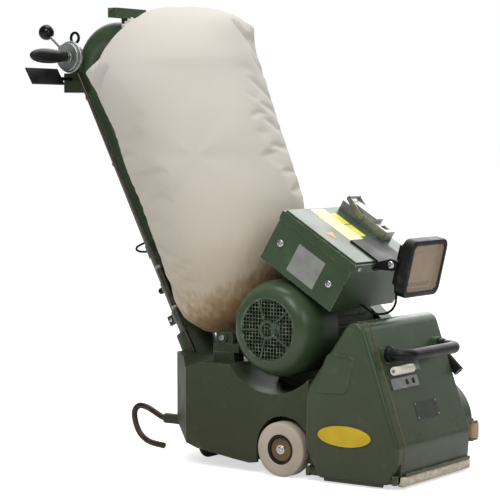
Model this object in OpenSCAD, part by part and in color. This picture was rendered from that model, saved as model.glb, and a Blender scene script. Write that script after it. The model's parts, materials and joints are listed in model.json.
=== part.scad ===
// Walk-behind floor drum sander with a belt-covered drum, a tilted guide tube and a dust bag.
// Front is -Y, the belt side is +X, the door side is -X, the floor is z = 0.

/* [Housing] */
// Near face of the housing that the door closes
housing_near = -125; // [-130:1:-110]
// Far face of the housing and of the body
far_face = 131; // [120:1:140]
// Wall thickness of the castings
wall = 6; // [4:0.5:8]

/* [Sanding unit] */
// Outer radius of the rubber-covered drum
drum_r = 90; // [86:0.5:91]
// Width of the drum and of the abrasive belt
drum_w = 200; // [180:1:205]
// Radius of the upper tension roller
roller_r = 24; // [20:0.5:25]

/* [Wheels] */
// Radius of the two main wheels
wheel_r = 55.5; // [50:0.5:60]
// Width of a main wheel
wheel_w = 38; // [30:1:42]

/* [Motor] */
// Largest radius of the fan cowl
cowl_r = 100; // [96:1:104]
// Radius of the round air grille
grille_r = 64; // [50:1:70]

/* [Guide tube] */
// Lean of the tube from the vertical, in degrees
tube_lean = 27; // [24:0.5:29]
// Outer radius of the tube
tube_r = 30; // [28:0.5:31]
// Radius of the bend at the top, along the tube's middle
bend_r = 73; // [70:1:76]

/* [Switch box] */
// Slope of the box towards the front, in degrees
box_slope = 31.5; // [28:0.5:34]
// Length of the box down the slope
box_len = 196; // [180:1:200]
// Height of the box without its lid
box_h = 93; // [85:1:95]

/* [Hidden] */
$fn = 64;
shift = [-7.5, -215.25, 0];
green = "#4a5d4a";
dark_green = "#3a4a38";
near_rim = housing_near - 3;
drum_c = [-163, 97];
roller_c = [-170, 275.5];
motor_c = [30, 295];
fan_c = [205, 142];
wheel_c = [0, wheel_r];
drum_x = [-112, -112 + drum_w];
belt_t = 1;
fit = 0.05;
gap = 0.3;
saddle_r = 131;
// Outline of the drum housing: rounded apex, rounded nose, rear shoulder and two foot corners
apex = [-174, 296, 25];
nose = [-237, 78, 38];
toe = [-261, 17, 9];
heel = [-69, 17, 9];
shoulder = [-120, 160, 60];
housing_loop = [heel, shoulder, apex, nose, toe];
// The door's raised face has its two lower corners cut off
door_loop = [[-97.6, 22, 14], [-74, 72.9, 14], shoulder, apex, nose, [-259, 56, 14], [-242.5, 22, 14]];
// A point of the tube's middle line and the line's direction
tube_p = [335, 276.5];
tube_d = [sin(tube_lean), cos(tube_lean)];
straight = 585.3;
bend_start = tube_p + straight * tube_d;
bend_c = bend_start + bend_r * [-tube_d[1], tube_d[0]];
mouth_a = 93;
mouth_p = bend_c + bend_r * [cos(mouth_a), sin(mouth_a)];
box_p = [63.5, 438.7];
box_x = [-130, 112];
lid_h = 23;
lamp_p = [-202, 429];
lamp_lean = 13.2;
lamp_x = [-52, 91];
// Hub of the lift lever, the line of its pull rod and the fork that the rod swings
hub_p = [631, 858];
hub_bar_r = 7;
crank_r = 10.5;
lever_swing = 40;
rod_x = -40;
rod_line = [[298, 221.8], [624, 834]];
rod_d = (rod_line[1] - rod_line[0]) / norm(rod_line[1] - rod_line[0]);
rod_lean = atan2(rod_d[0], rod_d[1]);
rod_foot = rod_line[0] - rod_d * (rod_line[0][1] - 50) / rod_d[1];
crank_p = hub_p + crank_r * [cos(180 - rod_lean - lever_swing / 2), sin(180 - rod_lean - lever_swing / 2)];
fork_arm = 55;
fork_p = rod_foot - fork_arm * [rod_d[1], -rod_d[0]];
rear_c = [262, 22];
hook_p = [-30, 72];
hinge_p = [-140, 19];

// ---- helpers ----

module placed() translate(shift) children();

// A flat shape drawn in (Y, Z), pushed along X
module along_x(x0, x1) translate([x0, 0, 0]) rotate([90, 0, 90]) linear_extrude(x1 - x0) children();

// A flat shape drawn in (Y, X), pushed along Z
module in_plan(z0, z1) translate([0, 0, z0]) linear_extrude(z1 - z0) children();

module rod(x0, x1, p, r) translate([x0, p[0], p[1]]) rotate([0, 90, 0]) cylinder(h = x1 - x0, r = r);

module tube(x0, x1, p, r, hole) difference() {
    rod(x0, x1, p, r);
    rod(x0 - 1, x1 + 1, p, hole);
}

module block(a, b) translate(a) cube(b - a);

// Normal of the line that touches two circles [y, z, r] on their right-hand side
function touch(a, b) =
    let (d = [b[0] - a[0], b[1] - a[1]], l = norm(d), u = d / l, k = (a[2] - b[2]) / l)
    k * u + sqrt(1 - k * k) * [u[1], -u[0]];

function grown(loop, by) = [for (c = loop) [c[0], c[1], c[2] + by]];

function spot(c, n) = [c[0] + c[2] * n[0], c[1] + c[2] * n[1]];

// The straight-sided area between the circles of a loop, out to the lines that touch them
module ties(loop) polygon([for (i = [0 : len(loop) - 1]) let (a = loop[i],
    b = loop[(i + 1) % len(loop)], n = touch(a, b)) each [spot(a, n), spot(b, n)]]);

// The outline of a band wrapped round a loop of circles, with true arcs
module wrapped(loop) {
    ties(loop);
    for (c = loop) translate([c[0], c[1]]) circle(c[2]);
}

module housing_shape(by = 0) wrapped(grown(housing_loop, by));

module door_shape(by = 0) wrapped(grown(door_loop, by));

// A belt loop round two circles, from its running face outwards
module belt_loop(loop, t, x0, x1) along_x(x0, x1) difference() {
    wrapped(grown(loop, t));
    wrapped(loop);
}

// Along the tube's own direction: local Z runs up the tube from the point at distance s
module on_tube(s) translate([0, tube_p[0] + s * tube_d[0], tube_p[1] + s * tube_d[1]])
    rotate([-tube_lean, 0, 0]) children();

// The switch box's own frame: Y up the slope, Z out of the lid
module on_box() translate([0, box_p[0], box_p[1]]) rotate([box_slope, 0, 0]) children();

// The lamp's own frame: its pivot is the origin and its face looks along -Y
module on_lamp() translate([0, lamp_p[0], lamp_p[1]]) rotate([lamp_lean, 0, 0]) children();

// The pull rod's own frame: local Z runs up the rod from its foot
module on_rod(s) translate([rod_x, rod_foot[0] + s * rod_d[0], rod_foot[1] + s * rod_d[1]])
    rotate([-rod_lean, 0, 0]) children();

// How far up the rod, and how far behind it, a point [y, z] lies
function up_rod(p) = (p - rod_foot) * rod_d;

function off_rod(p) = (p - rod_foot) * [rod_d[1], -rod_d[0]];

// A point t of the way along one smooth stretch between p1 and p2
function blend4(p0, p1, p2, p3, t) = 0.5 * (2 * p1 + (p2 - p0) * t
    + (2 * p0 - 5 * p1 + 4 * p2 - p3) * t * t + (3 * p1 - p0 - 3 * p2 + p3) * t * t * t);

function smooth(p, n) = let (last = len(p) - 1) [
    for (i = [0 : last - 1]) for (k = [0 : n - 1])
        blend4(p[max(i - 1, 0)], p[i], p[i + 1], p[min(i + 2, last)], k / n),
    p[last]
];

function unit(v) = v / norm(v);

// A round bar of radius r swept along points that stay off the direction "side"
module swept(p, r, sides = 12, side = [1, 0, 0]) {
    last = len(p) - 1;
    rings = [for (i = [0 : last]) let (d = unit(p[min(i + 1, last)] - p[max(i - 1, 0)]),
        a = unit(side - (side * d) * d), b = cross(d, a))
        for (k = [0 : sides - 1]) p[i] + r * (cos(360 * k / sides) * a + sin(360 * k / sides) * b)];
    walls = [for (i = [0 : last - 1]) for (k = [0 : sides - 1]) let (m = (k + 1) % sides)
        [i * sides + k, i * sides + m, (i + 1) * sides + m, (i + 1) * sides + k]];
    start = [[for (k = [sides - 1 : -1 : 0]) k]];
    end = [[for (k = [0 : sides - 1]) last * sides + k]];
    polyhedron(rings, [for (f = concat(walls, start, end)) [for (k = [len(f) - 1 : -1 : 0]) f[k]]]);
}

// Slice of the dust bag: an ellipse of half depth c and half width a
module slice(z, y, c, a) translate([0, y, z]) scale([a / c, 1, 1]) cylinder(h = 1, r = c, $fn = 36);

// ---- castings ----

handle_x = [-104, 100];
handle_y = -266;
handle_z = 257;
handle_r = 12;
handle_bend = 26;
clamp_z = 236;
clamp_p = [-80, 182];

body_side = [[-60, 22], [64, 22], [84, 19], [121, 23], [217, 37], [251, 48], [338, 72],
    [338, 222], [268, 222], [253, 202], [213, 216], [-60, 219]];
body_plan = [[-60, -140], [245, -140], [338, -48], [338, 48], [245, far_face], [-60, far_face]];
body_side_in = [[-61, 0], [332, 0], [332, 216], [271, 216], [255, 194], [213, 209], [-61, 212]];
body_plan_in = [[-54, -133], [242, -133], [331, -45], [331, 45], [242, far_face - 7],
    [-54, far_face - 7]];

module body_solid(side, plan) intersection() {
    along_x(-150, 150) polygon(side);
    in_plan(-10, 300) polygon([for (p = plan) [p[1], p[0]]]);
}

module wheel_pocket(r, deep) for (s = [-1, 1]) {
    x = s < 0 ? -141 : 141 - deep;
    rod(x, x + deep, wheel_c, r);
}

module main_body() color(green) placed() {
    difference() {
        union() {
            difference() {
                body_solid(body_side, body_plan);
                difference() {
                    body_solid(body_side_in, body_plan_in);
                    rod(-150, 150, motor_c, saddle_r + 7);
                }
            }
            intersection() {
                wheel_pocket(72, 52);
                body_solid(body_side, body_plan);
            }
            // socket of the guide tube
            on_tube(-85) cylinder(h = 72, r = 40);
            // rib and ears that carry the rear fork
            block([-138, 122, 30], [far_face - 2, 130, 92]);
            for (x = [-66, 40]) block([x, 128, fork_p[1] - 14], [x + 10, fork_p[0] + 12, fork_p[1] + 14]);
            // boss of the tilt hook and post of the motor's clamp bolts
            translate([hook_p[0], 332, hook_p[1]]) rotate([-90, 0, 0]) cylinder(h = 51, r = 11);
            block([-98, 152, 205], [-62, 205, clamp_z]);
        }
        rod(-150, 150, motor_c, saddle_r);
        wheel_pocket(66, 48);
        for (s = [-1, 1]) translate([s * 118, 0, 20]) cube([52, 132, 72], center = true);
        rod(-110, 110, wheel_c, 10);
        on_tube(-90) cylinder(h = 90, r = tube_r);
        on_tube(-140) cylinder(h = 55, r = tube_r + 3);
        on_rod(150) cylinder(h = 110, r = 5.5);
        rod(-80, 60, fork_p, 6);
        rod(far_face - 10, far_face + 1, fan_c, 17.5);
        translate([clamp_p[0], clamp_p[1], 200]) cylinder(h = 60, r = 4);
    }
}

module drum_housing() color(green) placed() difference() {
    union() {
        along_x(housing_near, far_face) difference() {
            housing_shape();
            housing_shape(-wall);
            translate([-263, -20]) square([197, 60]);
        }
        along_x(far_face - wall, far_face) intersection() {
            housing_shape();
            translate([-300, 24]) square([300, 400]);
        }
        rod(98, far_face, drum_c, 32);
        // front flange, handle bosses and hinge ears
        block([housing_near, -277, 25], [far_face, -262, 31]);
        for (x = handle_x) difference() {
            translate([x, -222, handle_z]) rotate([-90, 0, 0]) cylinder(h = 30, r = 18);
            along_x(x - 20, x + 20) housing_shape(-wall);
        }
        block([-150, -68.5, 10], [housing_near + 6, -60, 28]);
        block([-150, -268, 10], [housing_near + 6, -259.5, 28]);
        // guide of the tension yoke
        block([98, -196, 232], [far_face, -144, 296]);
    }
    block([-140, -290, 0], [140, -264, 24.5]);
    rod(90, 140, drum_c, 23.5);
    for (x = handle_x) translate([x, -240, handle_z]) rotate([-90, 0, 0]) cylinder(h = 60, r = handle_r);
    translate([hinge_p[0], -275, hinge_p[1]]) rotate([-90, 0, 0]) cylinder(h = 220, r = 4);
    block([90, -186.4, 225], [far_face - wall, -153.6, 310]);
}

module door_seal() color("#8a6a40") placed() along_x(near_rim, housing_near) difference() {
    housing_shape(0.8);
    housing_shape(-wall);
    translate([-300, -20]) square([300, 52]);
}

module side_door() color(green) placed() difference() {
    union() {
        difference() {
            union() {
                along_x(-135, near_rim - gap) housing_shape(0, $fn = 32);
                hull() {
                    along_x(-146, -134) door_shape(-0.5, $fn = 32);
                    along_x(-155, -154) door_shape(-9, $fn = 32);
                }
            }
            hull() {
                along_x(-144, near_rim) door_shape(-5.5, $fn = 32);
                along_x(-151, -150) door_shape(-13, $fn = 32);
            }
        }
        block([-150, -238, 3], [-144, -102, 26]);
        for (y = [[-259, -237], [-91, -69]])
            translate([hinge_p[0], y[0], hinge_p[1]]) rotate([-90, 0, 0]) cylinder(h = y[1] - y[0], r = 8.5);
        hull() {
            block([-156.5, -159, 190], [-155, -101, 250]);
            block([-155, -166, 182], [-154, -92, 256]);
        }
    }
    for (y = [[-300, -259.2], [-68.8, -40]]) block([-160, y[0], -5], [-120, y[1], 34]);
    translate([hinge_p[0], -280, hinge_p[1]]) rotate([-90, 0, 0]) cylinder(h = 240, r = 4 + fit);
}

module hinge_pins() color("silver") placed() {
    for (y = [[-267, -238], [-90, -61]])
        translate([hinge_p[0], y[0], hinge_p[1]]) rotate([-90, 0, 0]) cylinder(h = y[1] - y[0], r = 4);
    rod(-68, 52, fork_p, 6);
}

module felt_strip() color("#d8cfc0") placed() block([-135.6, -275.5, 5], [135.6, -264, 24.5]);

// ---- handles on the housing ----

module front_handle() color("#1b1b1b") placed() {
    for (x = handle_x) {
        s = x < 0 ? 1 : -1;
        translate([x, handle_y + handle_bend, handle_z]) rotate([-90, 0, 0])
            cylinder(h = -209.5 - handle_y - handle_bend, r = handle_r);
        translate([x + s * handle_bend, handle_y + handle_bend, handle_z])
            rotate_extrude(angle = s * 90, start = s < 0 ? 0 : 180)
                translate([handle_bend, 0]) circle(handle_r);
    }
    translate([handle_x[0] + handle_bend, handle_y, handle_z]) rotate([0, 90, 0])
        cylinder(h = handle_x[1] - handle_x[0] - 2 * handle_bend, r = handle_r);
}

// The housing's sloping front as a frame: origin on its face at height z, -Y out of the face
module on_front(x, z) {
    n = touch(apex, nose);
    a = spot(apex, n);
    b = spot(nose, n);
    t = (a[1] - z) / (a[1] - b[1]);
    translate([x, a[0] + t * (b[0] - a[0]), z]) rotate([atan2(n[1], -n[0]) * -1, 0, 0]) children();
}

module notch_plate() color("silver") placed() on_front(-64, 199) difference() {
    translate([-50, -3, -11]) cube([100, 3, 22]);
    for (x = [2, 26]) translate([x, -10, -5]) cube([11, 20, 10]);
}

lever_x = -26;
lever_z = 228;
grip_y = -17;
grip_z = -7;

module tension_lever() color("silver") placed() on_front(lever_x, lever_z) {
    translate([0, -14, 0]) rotate([-90, 0, 0]) cylinder(h = 13.7, r = 6.5);
    block([-20, -19, grip_z - 5], [6, -11, 5]);
    translate([-92, grip_y, grip_z]) rotate([0, 90, 0]) cylinder(h = 80, r = 3);
}

module tension_grip() color("#e8e2d2") placed() on_front(lever_x, lever_z) difference() {
    translate([-91, grip_y, grip_z]) rotate([0, 90, 0]) cylinder(h = 70, r = 8.5);
    translate([-95, grip_y, grip_z]) rotate([0, 90, 0]) cylinder(h = 85, r = 3);
}

belt_lever_p = [-194, 245];
belt_lever_a = 223;

module belt_lever() color("#1b1b1b") placed() {
    rod(far_face + gap, 145, belt_lever_p, 8);
    translate([0, belt_lever_p[0], belt_lever_p[1]]) rotate([belt_lever_a, 0, 0]) {
        block([138, 0, -4], [145, 24, 4]);
        translate([145, 20, 0]) rotate([-90, 0, 0]) cylinder(h = 46, r = 11);
    }
}

// ---- belt side ----

guard_drum = [drum_c[0] - 5, drum_c[1] - 3, 90];
guard_motor = [motor_c[0], motor_c[1], 66];
guard_fan = [fan_c[0], fan_c[1], 46];

function angle_of(n) = atan2(n[1], n[0]);

// Points of a circle from one angle up to another
function arc(c, from, to, n = 24) = [for (i = [0 : n]) let (a = from + (to - from) * i / n)
    spot(c, [cos(a), sin(a)])];

// Where the lines n1 . p = d1 and n2 . p = d2 cross
function crossing(n1, d1, n2, d2) = let (w = n1[0] * n2[1] - n1[1] * n2[0])
    [(d1 * n2[1] - d2 * n1[1]) / w, (n1[0] * d2 - n2[0] * d1) / w];

// The V-shaped outline that passes round the drum's, the motor's and the fan's pulleys
function guard_outline(a, b, c) = let (in1 = touch(a, b), in2 = touch(b, c), out1 = touch(b, a),
    out2 = touch(c, b)) concat(
    arc(a, angle_of(out1), angle_of(in1) + 360),
    [crossing(in1, spot(a, in1) * in1, in2, spot(c, in2) * in2)],
    arc(c, angle_of(in2), angle_of(out2)),
    arc(b, angle_of(out2), angle_of(out1)));

function widened(c, by) = [c[0], c[1], c[2] + by];

module guard_shape(by)
    polygon(guard_outline(widened(guard_drum, by), widened(guard_motor, by), widened(guard_fan, by)));

side_roller_p = [190, -248];

module belt_guard() color(green) placed() {
    difference() {
        union() {
            along_x(far_face, 174) guard_shape(0);
            along_x(170, 179) guard_shape(-4);
            along_x(170, 184) guard_shape(-8);
        }
        difference() {
            union() {
                along_x(far_face - 1, 171) guard_shape(-4.5);
                along_x(far_face - 1, 181) guard_shape(-12);
            }
            block([162, -300, 50], [190, -224, 98]);
        }
        // pocket of the side roller
        block([168, -300, 56], [200, -229, 92]);
    }
    // bracket and pin of the side roller
    difference() {
        for (z = [54, 90]) {
            block([165, side_roller_p[1] - 11, z], [side_roller_p[0] + 3, -190, z + 4]);
            translate([side_roller_p[0], side_roller_p[1], z]) cylinder(h = 4, r = 13);
        }
        along_x(100, 172) guard_shape(-2);
        along_x(100, 182) guard_shape(-10);
    }
    translate([side_roller_p[0], side_roller_p[1], 50]) cylinder(h = 48, r = 4);
}

module wall_roller() color("#b59a78") placed()
    translate([side_roller_p[0], side_roller_p[1], 58 + gap]) difference() {
        cylinder(h = 32 - 2 * gap, r = 15);
        translate([0, 0, -1]) cylinder(h = 40, r = 4 + fit);
    }

drum_belts = [[motor_c[0], motor_c[1], 40.4], [drum_c[0], drum_c[1], 48.4]];
fan_belt = [[motor_c[0], motor_c[1], 36.4], [fan_c[0], fan_c[1], 27.4]];

module v_belts() color("#202020") placed() {
    for (x = [137, 149]) belt_loop(drum_belts, 7, x, x + 9);
    belt_loop(fan_belt, 7, 161, 170);
}

module motor_pulley() color("#8a8c8e") placed() difference() {
    union() {
        rod(134, 160, motor_c, 40);
        rod(160, 170.5, motor_c, 36);
        for (x = [134, 147, 159]) rod(x, x + 1.5, motor_c, 44);
    }
    rod(130, 175, motor_c, 12.5);
}

// ---- motor ----

module motor_frame() color(green) placed() difference() {
    union() {
        rod(-60, 122, motor_c, 80);
        for (i = [0 : 23]) translate([-38, motor_c[0], motor_c[1]]) rotate([i * 15, 0, 0])
            translate([0, -2, 0]) cube([136, 4, 92]);
        intersection() {
            block([-24, -30, 150], [84, 90, 240]);
            rod(-24, 84, motor_c, saddle_r);
        }
        on_box() block([-10, -122, -36], [50, -62, 0]);
        // clamp lug that reaches the post behind the motor
        block([-42, 84, clamp_z], [-20, 205, clamp_z + 18]);
        block([-98, 140, clamp_z], [-30, 205, clamp_z + 18]);
    }
    rod(-45, 108, motor_c, 70);
    rod(-61, -40, motor_c, 23.5);
    rod(100, 130, motor_c, 23.5);
    translate([clamp_p[0], clamp_p[1], clamp_z - 5]) cylinder(h = 40, r = 4);
}

function cowl_arc(r, t) = [for (i = [0 : 9]) let (a = i * 10)
    [grille_r + (r - grille_r) * sin(a), 155 - t - (60 - t) * (1 - cos(a))]];

module fan_cowl() color(green) placed() translate([0, motor_c[0], motor_c[1]]) rotate([0, -90, 0]) {
    rotate_extrude($fn = 96) polygon(concat(cowl_arc(cowl_r, 0),
        [[cowl_r, 44], [cowl_r - 3, 44]],
        [for (i = [9 : -1 : 0]) cowl_arc(cowl_r - 3, 3)[i]]));
    translate([0, 0, 150]) linear_extrude(3) {
        intersection() {
            circle(grille_r + 0.5);
            union() for (i = [-7 : 7]) {
                translate([-70, i * 8.4 - 0.9]) square([140, 1.8]);
                translate([i * 8.4 - 0.9, -70]) square([1.8, 140]);
            }
        }
    }
    translate([0, 0, 150]) linear_extrude(6) {
        difference() {
            circle(20);
            circle(16);
        }
        for (a = [20 : 72 : 380]) rotate(a) translate([18, -2]) square([46, 4]);
    }
    for (a = [45 : 90 : 359]) rotate(a) translate([79.5, -6, 46]) cube([18.5, 12, 14]);
}

module stator() color("#777777") placed() tube(-30, 84, motor_c, 70, 45);

module rotor() color("silver") placed() {
    rod(-30, 84, motor_c, 44.3);
    rod(-128, 172, motor_c, 12.5);
}

module cooling_fan() color("#d0cdc4") placed() difference() {
    union() {
        rod(-126, -100, motor_c, 22);
        rod(-103, -100, motor_c, 66);
        for (i = [0 : 6]) translate([-124, motor_c[0], motor_c[1]]) rotate([i * 360 / 7, 0, 0])
            translate([0, -1.5, 15]) cube([22, 3, 50]);
    }
    rod(-130, -90, motor_c, 12.5);
}

module ball_bearings() color("silver") placed() {
    tube(-60, -46, motor_c, 23.5, 12.5 + fit);
    tube(109, 122, motor_c, 23.5, 12.5 + fit);
    tube(100, 114, drum_c, 23.5, 10 + fit);
    tube(117, far_face, drum_c, 23.5, 10 + fit);
    tube(far_face - 10, far_face, fan_c, 17.5, 7.5 + fit);
}

// ---- sanding unit ----

module sanding_drum() color("#9a9c9e") placed() {
    difference() {
        rod(drum_x[0], drum_x[1], drum_c, drum_r - 6);
        rod(drum_x[0] - 1, drum_x[1] - 12, drum_c, drum_r - 14);
    }
    rod(drum_x[0] + 60, 160, drum_c, 10);
    difference() {
        rod(134, 160, drum_c, 48);
        rod(140, 165, drum_c, 40);
    }
    for (x = [134, 146.8, 158.6]) tube(x, x + 1.4, drum_c, 52, 40);
    rod(drum_x[0] + 40, drum_x[1] - 5, drum_c, 20);
}

module drum_rubber() color("#222222") placed() tube(drum_x[0], drum_x[1], drum_c, drum_r, drum_r - 6);

module abrasive_belt() color("#5b2f24") placed() belt_loop([[roller_c[0], roller_c[1], roller_r + gap],
    [drum_c[0], drum_c[1], drum_r + gap]], belt_t, drum_x[0], drum_x[1]);

module tension_yoke() color("silver") placed() {
    rod(drum_x[0] + 4, 110, roller_c, 8);
    block([100, -186, 250], [124.6, -154, 292]);
}

module tension_roller() color("#9a9c9e") placed()
    tube(drum_x[0] + 2, drum_x[1], roller_c, roller_r, 8 + fit);

module dust_fan() color("silver") placed() {
    rod(-16, 172, fan_c, 7.5);
    rod(-16, -12, fan_c, 50);
    rod(-16, 34, fan_c, 16);
    for (i = [0 : 7]) translate([-14, fan_c[0], fan_c[1]]) rotate([i * 45, 0, 0])
        translate([0, -1.5, 10]) cube([44, 3, 39]);
    rod(160, 170.5, fan_c, 27);
}

module fan_housing() color("#8b8f8c") placed() difference() {
    union() {
        rod(-26, 50, fan_c, 60);
        on_tube(-190) cylinder(h = 104, r = tube_r + 3);
    }
    rod(-22, 46, fan_c, 56);
    rod(40, 60, fan_c, 30);
    on_tube(-189) cylinder(h = 140, r = tube_r);
}

// ---- wheels ----

module wheel_axle() color("silver") placed() rod(-149, 149, wheel_c, 10);

module tyre(x) color("#b5a99a") placed() tube(x, x + wheel_w, wheel_c, wheel_r, 30.5);

module wheel_hub(x, out) color("#222222") placed() {
    difference() {
        rod(x + 2, x + wheel_w - 2, wheel_c, 30.5);
        rod(x - 1, x + wheel_w + 1, wheel_c, 10 + fit);
        rod(out < 0 ? x : x + wheel_w - 7, out < 0 ? x + 7 : x + wheel_w, wheel_c, 24);
    }
    c = out < 0 ? x + 3 : x + wheel_w - 6;
    rod(c + (out < 0 ? 0 : 2.5), c + (out < 0 ? 0.5 : 3), wheel_c, 24);
}

module near_tyre() tyre(-154);

module near_hub() wheel_hub(-154, -1);

module far_tyre() tyre(116);

module far_hub() wheel_hub(116, 1);

module rear_fork() color("#33383a") placed() {
    for (x = [-52, 30]) difference() {
        hull() {
            rod(x, x + 6, fork_p, 13);
            rod(x, x + 6, rear_c, 12);
        }
        rod(x - 1, x + 7, fork_p, 6 + fit);
    }
    difference() {
        rod(-47, 31, fork_p, 11);
        rod(-60, 60, fork_p, 6 + fit);
    }
    rod(-50, 34, rear_c, 5);
    rod(-50, -34, rod_foot, 4);
}

module rear_roller() color("#2a2a2a") placed() tube(-44, 28, rear_c, 22, 5 + fit);

// ---- guide tube and what it carries ----

// The bend of the tube; "extra" degrees of it reach into the straight tube at each end
module elbow(r, hole = 0, extra = 0) translate([0, bend_c[0], bend_c[1]]) rotate([90, 0, 90])
    rotate_extrude(angle = mouth_a + tube_lean + 2 * extra, start = -tube_lean - extra)
        translate([bend_r, 0]) difference() {
            circle(r);
            if (hole > 0) circle(hole);
        }

// A round piece along the mouth's own direction, which starts where the bend ends
module mouth(from, length, r) translate([0, mouth_p[0], mouth_p[1]]) rotate([mouth_a, 0, 0])
    translate([0, 0, from]) cylinder(h = length, r = r);

module guide_tube() color(green) placed() {
    difference() {
        on_tube(-86) cylinder(h = 86 + straight, r = tube_r);
        on_tube(-87) cylinder(h = 88 + straight, r = tube_r - 3);
    }
    elbow(tube_r - 0.4, tube_r - 2.6, 1);
    difference() {
        mouth(0, 65, tube_r);
        mouth(-1, 67, tube_r - 3);
    }
}

module bag_strap() color("#cfc48a") placed() difference() {
    mouth(44, 14, tube_r + 2);
    mouth(43, 16, tube_r);
}

module bag_bracket() color(green) placed() difference() {
    union() {
        block([-52, 497, 941], [52, 521, 962]);
        block([-9, 500, 928], [9, 518, 942]);
        rod(-62, 62, [509, 957], 2);
    }
    block([-49, 500, 930], [-12, 518, 959]);
    block([12, 500, 930], [49, 518, 959]);
    elbow(tube_r);
    mouth(0, 30, tube_r);
}

hook_route = [[0, 455, 452], [0, 470, 446], [0, 483, 440], [0, 486, 434], [0, 480, 430],
    [0, 466, 429], [0, 446, 431]];

module cable_hook() color("#303030") placed() difference() {
    union() {
        on_tube(170) cylinder(h = 28, r = tube_r + 2);
        swept(smooth(hook_route, 5), 2.5);
        // lug and clamp knob low on the tube
        on_tube(18) cylinder(h = 22, r = tube_r + 2);
        on_tube(18) block([-5, tube_r, 0], [5, tube_r + 22, 22]);
        on_tube(89) cylinder(h = 18, r = tube_r + 1.5);
        on_tube(98) rotate([-90, 0, 0]) cylinder(h = tube_r + 16, r = 6.5);
    }
    on_tube(10) cylinder(h = 200, r = tube_r);
    on_tube(29) translate([-6, tube_r + 13, 0]) rotate([0, 90, 0]) cylinder(h = 12, r = 4);
}

module handle_block() color(dark_green) placed() difference() {
    union() {
        block([-33, 590, 780], [33, 664, 823]);
        block([-14, 634, 800], [14, 660, 866]);
        rod(-35, 45, hub_p, 20);
    }
    on_tube(400) cylinder(h = straight - 380, r = tube_r + 0.15);
    elbow(tube_r, extra = -2);
    rod(-40, 50, hub_p, hub_bar_r);
}

module handle_bar() color("silver") placed() for (s = [-1, 1])
    rod(s < 0 ? -172 : 26, s < 0 ? -26 : 172, hub_p, hub_bar_r);

grip_from = 66;
grip_len = 114;

function egg_r(t) = t < 0.5 ? 9 + 7 * sin(180 * t) : 16 * sqrt(max(1 - pow(2 * t - 1, 2.8), 0.01));

module egg_grip() difference() {
    rotate_extrude() polygon(concat([[0, 0]], [for (i = [0 : 12]) [egg_r(i / 12), grip_len * i / 12]],
        [[0, grip_len]]));
    translate([0, 0, -1]) cylinder(h = 173 - grip_from, r = hub_bar_r);
}

module side_grips() color("#181818") placed() for (s = [-1, 1])
    translate([s * grip_from, hub_p[0], hub_p[1]]) rotate([0, s * 90, 0]) egg_grip();

module hand_plate() color("#161616") placed() {
    translate([-165, 638, 798]) rotate([-30.7, 0, 0]) cube([104, 4, 40]);
    block([-64, 642, 806], [-33, 650, 814]);
}

module cable_ring() color("#5a5f5f") placed() {
    difference() {
        rod(-32.5, -27.5, [634, 901], 14.5);
        rod(-33, -27, [634, 901], 9);
    }
    translate([-30, 634, 877]) cylinder(h = 12, r1 = 5.5, r2 = 4);
}

// ---- lift linkage ----

lever_route = [[-55, 651, 877], [-56, 662, 887], [-58, 675, 899], [-60, 686, 909]];

module lift_lever() color("silver") placed() {
    difference() {
        union() {
            rod(-54, -46, hub_p, 35);
            rod(-62, -54, hub_p, 31);
        }
        rod(-70, -40, hub_p, hub_bar_r + fit);
    }
    rod(-46.5, -36, crank_p, 3);
    swept(smooth(lever_route, 5), 4);
}

module ball_knob() color("#141414") placed() difference() {
    translate([-60, 691, 914]) sphere(17.5);
    swept(smooth(lever_route, 5), 4);
}

module pull_rod() color("#b9bcb8") placed() {
    top = up_rod(crank_p);
    side = off_rod(crank_p);
    play = 0.4;
    on_rod(6) cylinder(h = top - 20, r = 3.5);
    // hooked head that the crank pin works in, beside the hub's bar
    on_rod(top) difference() {
        union() {
            block([-3, side - 7, -20], [2.5, side + 2.4, 7]);
            block([-3, side - 7, -20], [2.5, 4, -12]);
        }
        block([-4, side - 4.2, -3 - play], [4, side + 8, 3 + play]);
    }
    // slotted foot round the fork's pin
    on_rod(0) difference() {
        block([-3, -10, -9], [3, 10, 9]);
        block([-4, -5.2, -4 - play], [4, 5.2, 4 + play]);
    }
    // adjuster sleeve
    on_rod(up_rod([350, 320])) cylinder(h = 88, r = 7);
}

// ---- switch box and lamp ----

module control_box() color(green) placed() on_box() difference() {
    block([box_x[0], -box_len, 0], [box_x[1], 0, box_h]);
    block([box_x[0] + 2.5, 2.5 - box_len, 2.5], [box_x[1] - 2.5, -2.5, box_h + 1]);
    translate([box_x[1] - 5, -70, 50]) rotate([0, 90, 0]) cylinder(h = 10, r = 5);
}

module box_lid() color(green) placed() on_box() difference() {
    union() {
        block([box_x[0] - 2, -box_len - 4, box_h], [box_x[1] + 2, 2, box_h + lid_h - 4]);
        block([box_x[0] + 3, -box_len + 1, box_h], [box_x[1] - 3, -3, box_h + lid_h]);
    }
    block([box_x[0] + 5, -box_len + 3, box_h - 1], [box_x[1] - 5, -5, box_h + lid_h - 3]);
}

module screw(r, h) {
    cylinder(h = h, r = r);
    translate([0, 0, h]) cylinder(h = r * 0.45, r1 = r, r2 = r * 0.5);
}

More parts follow.
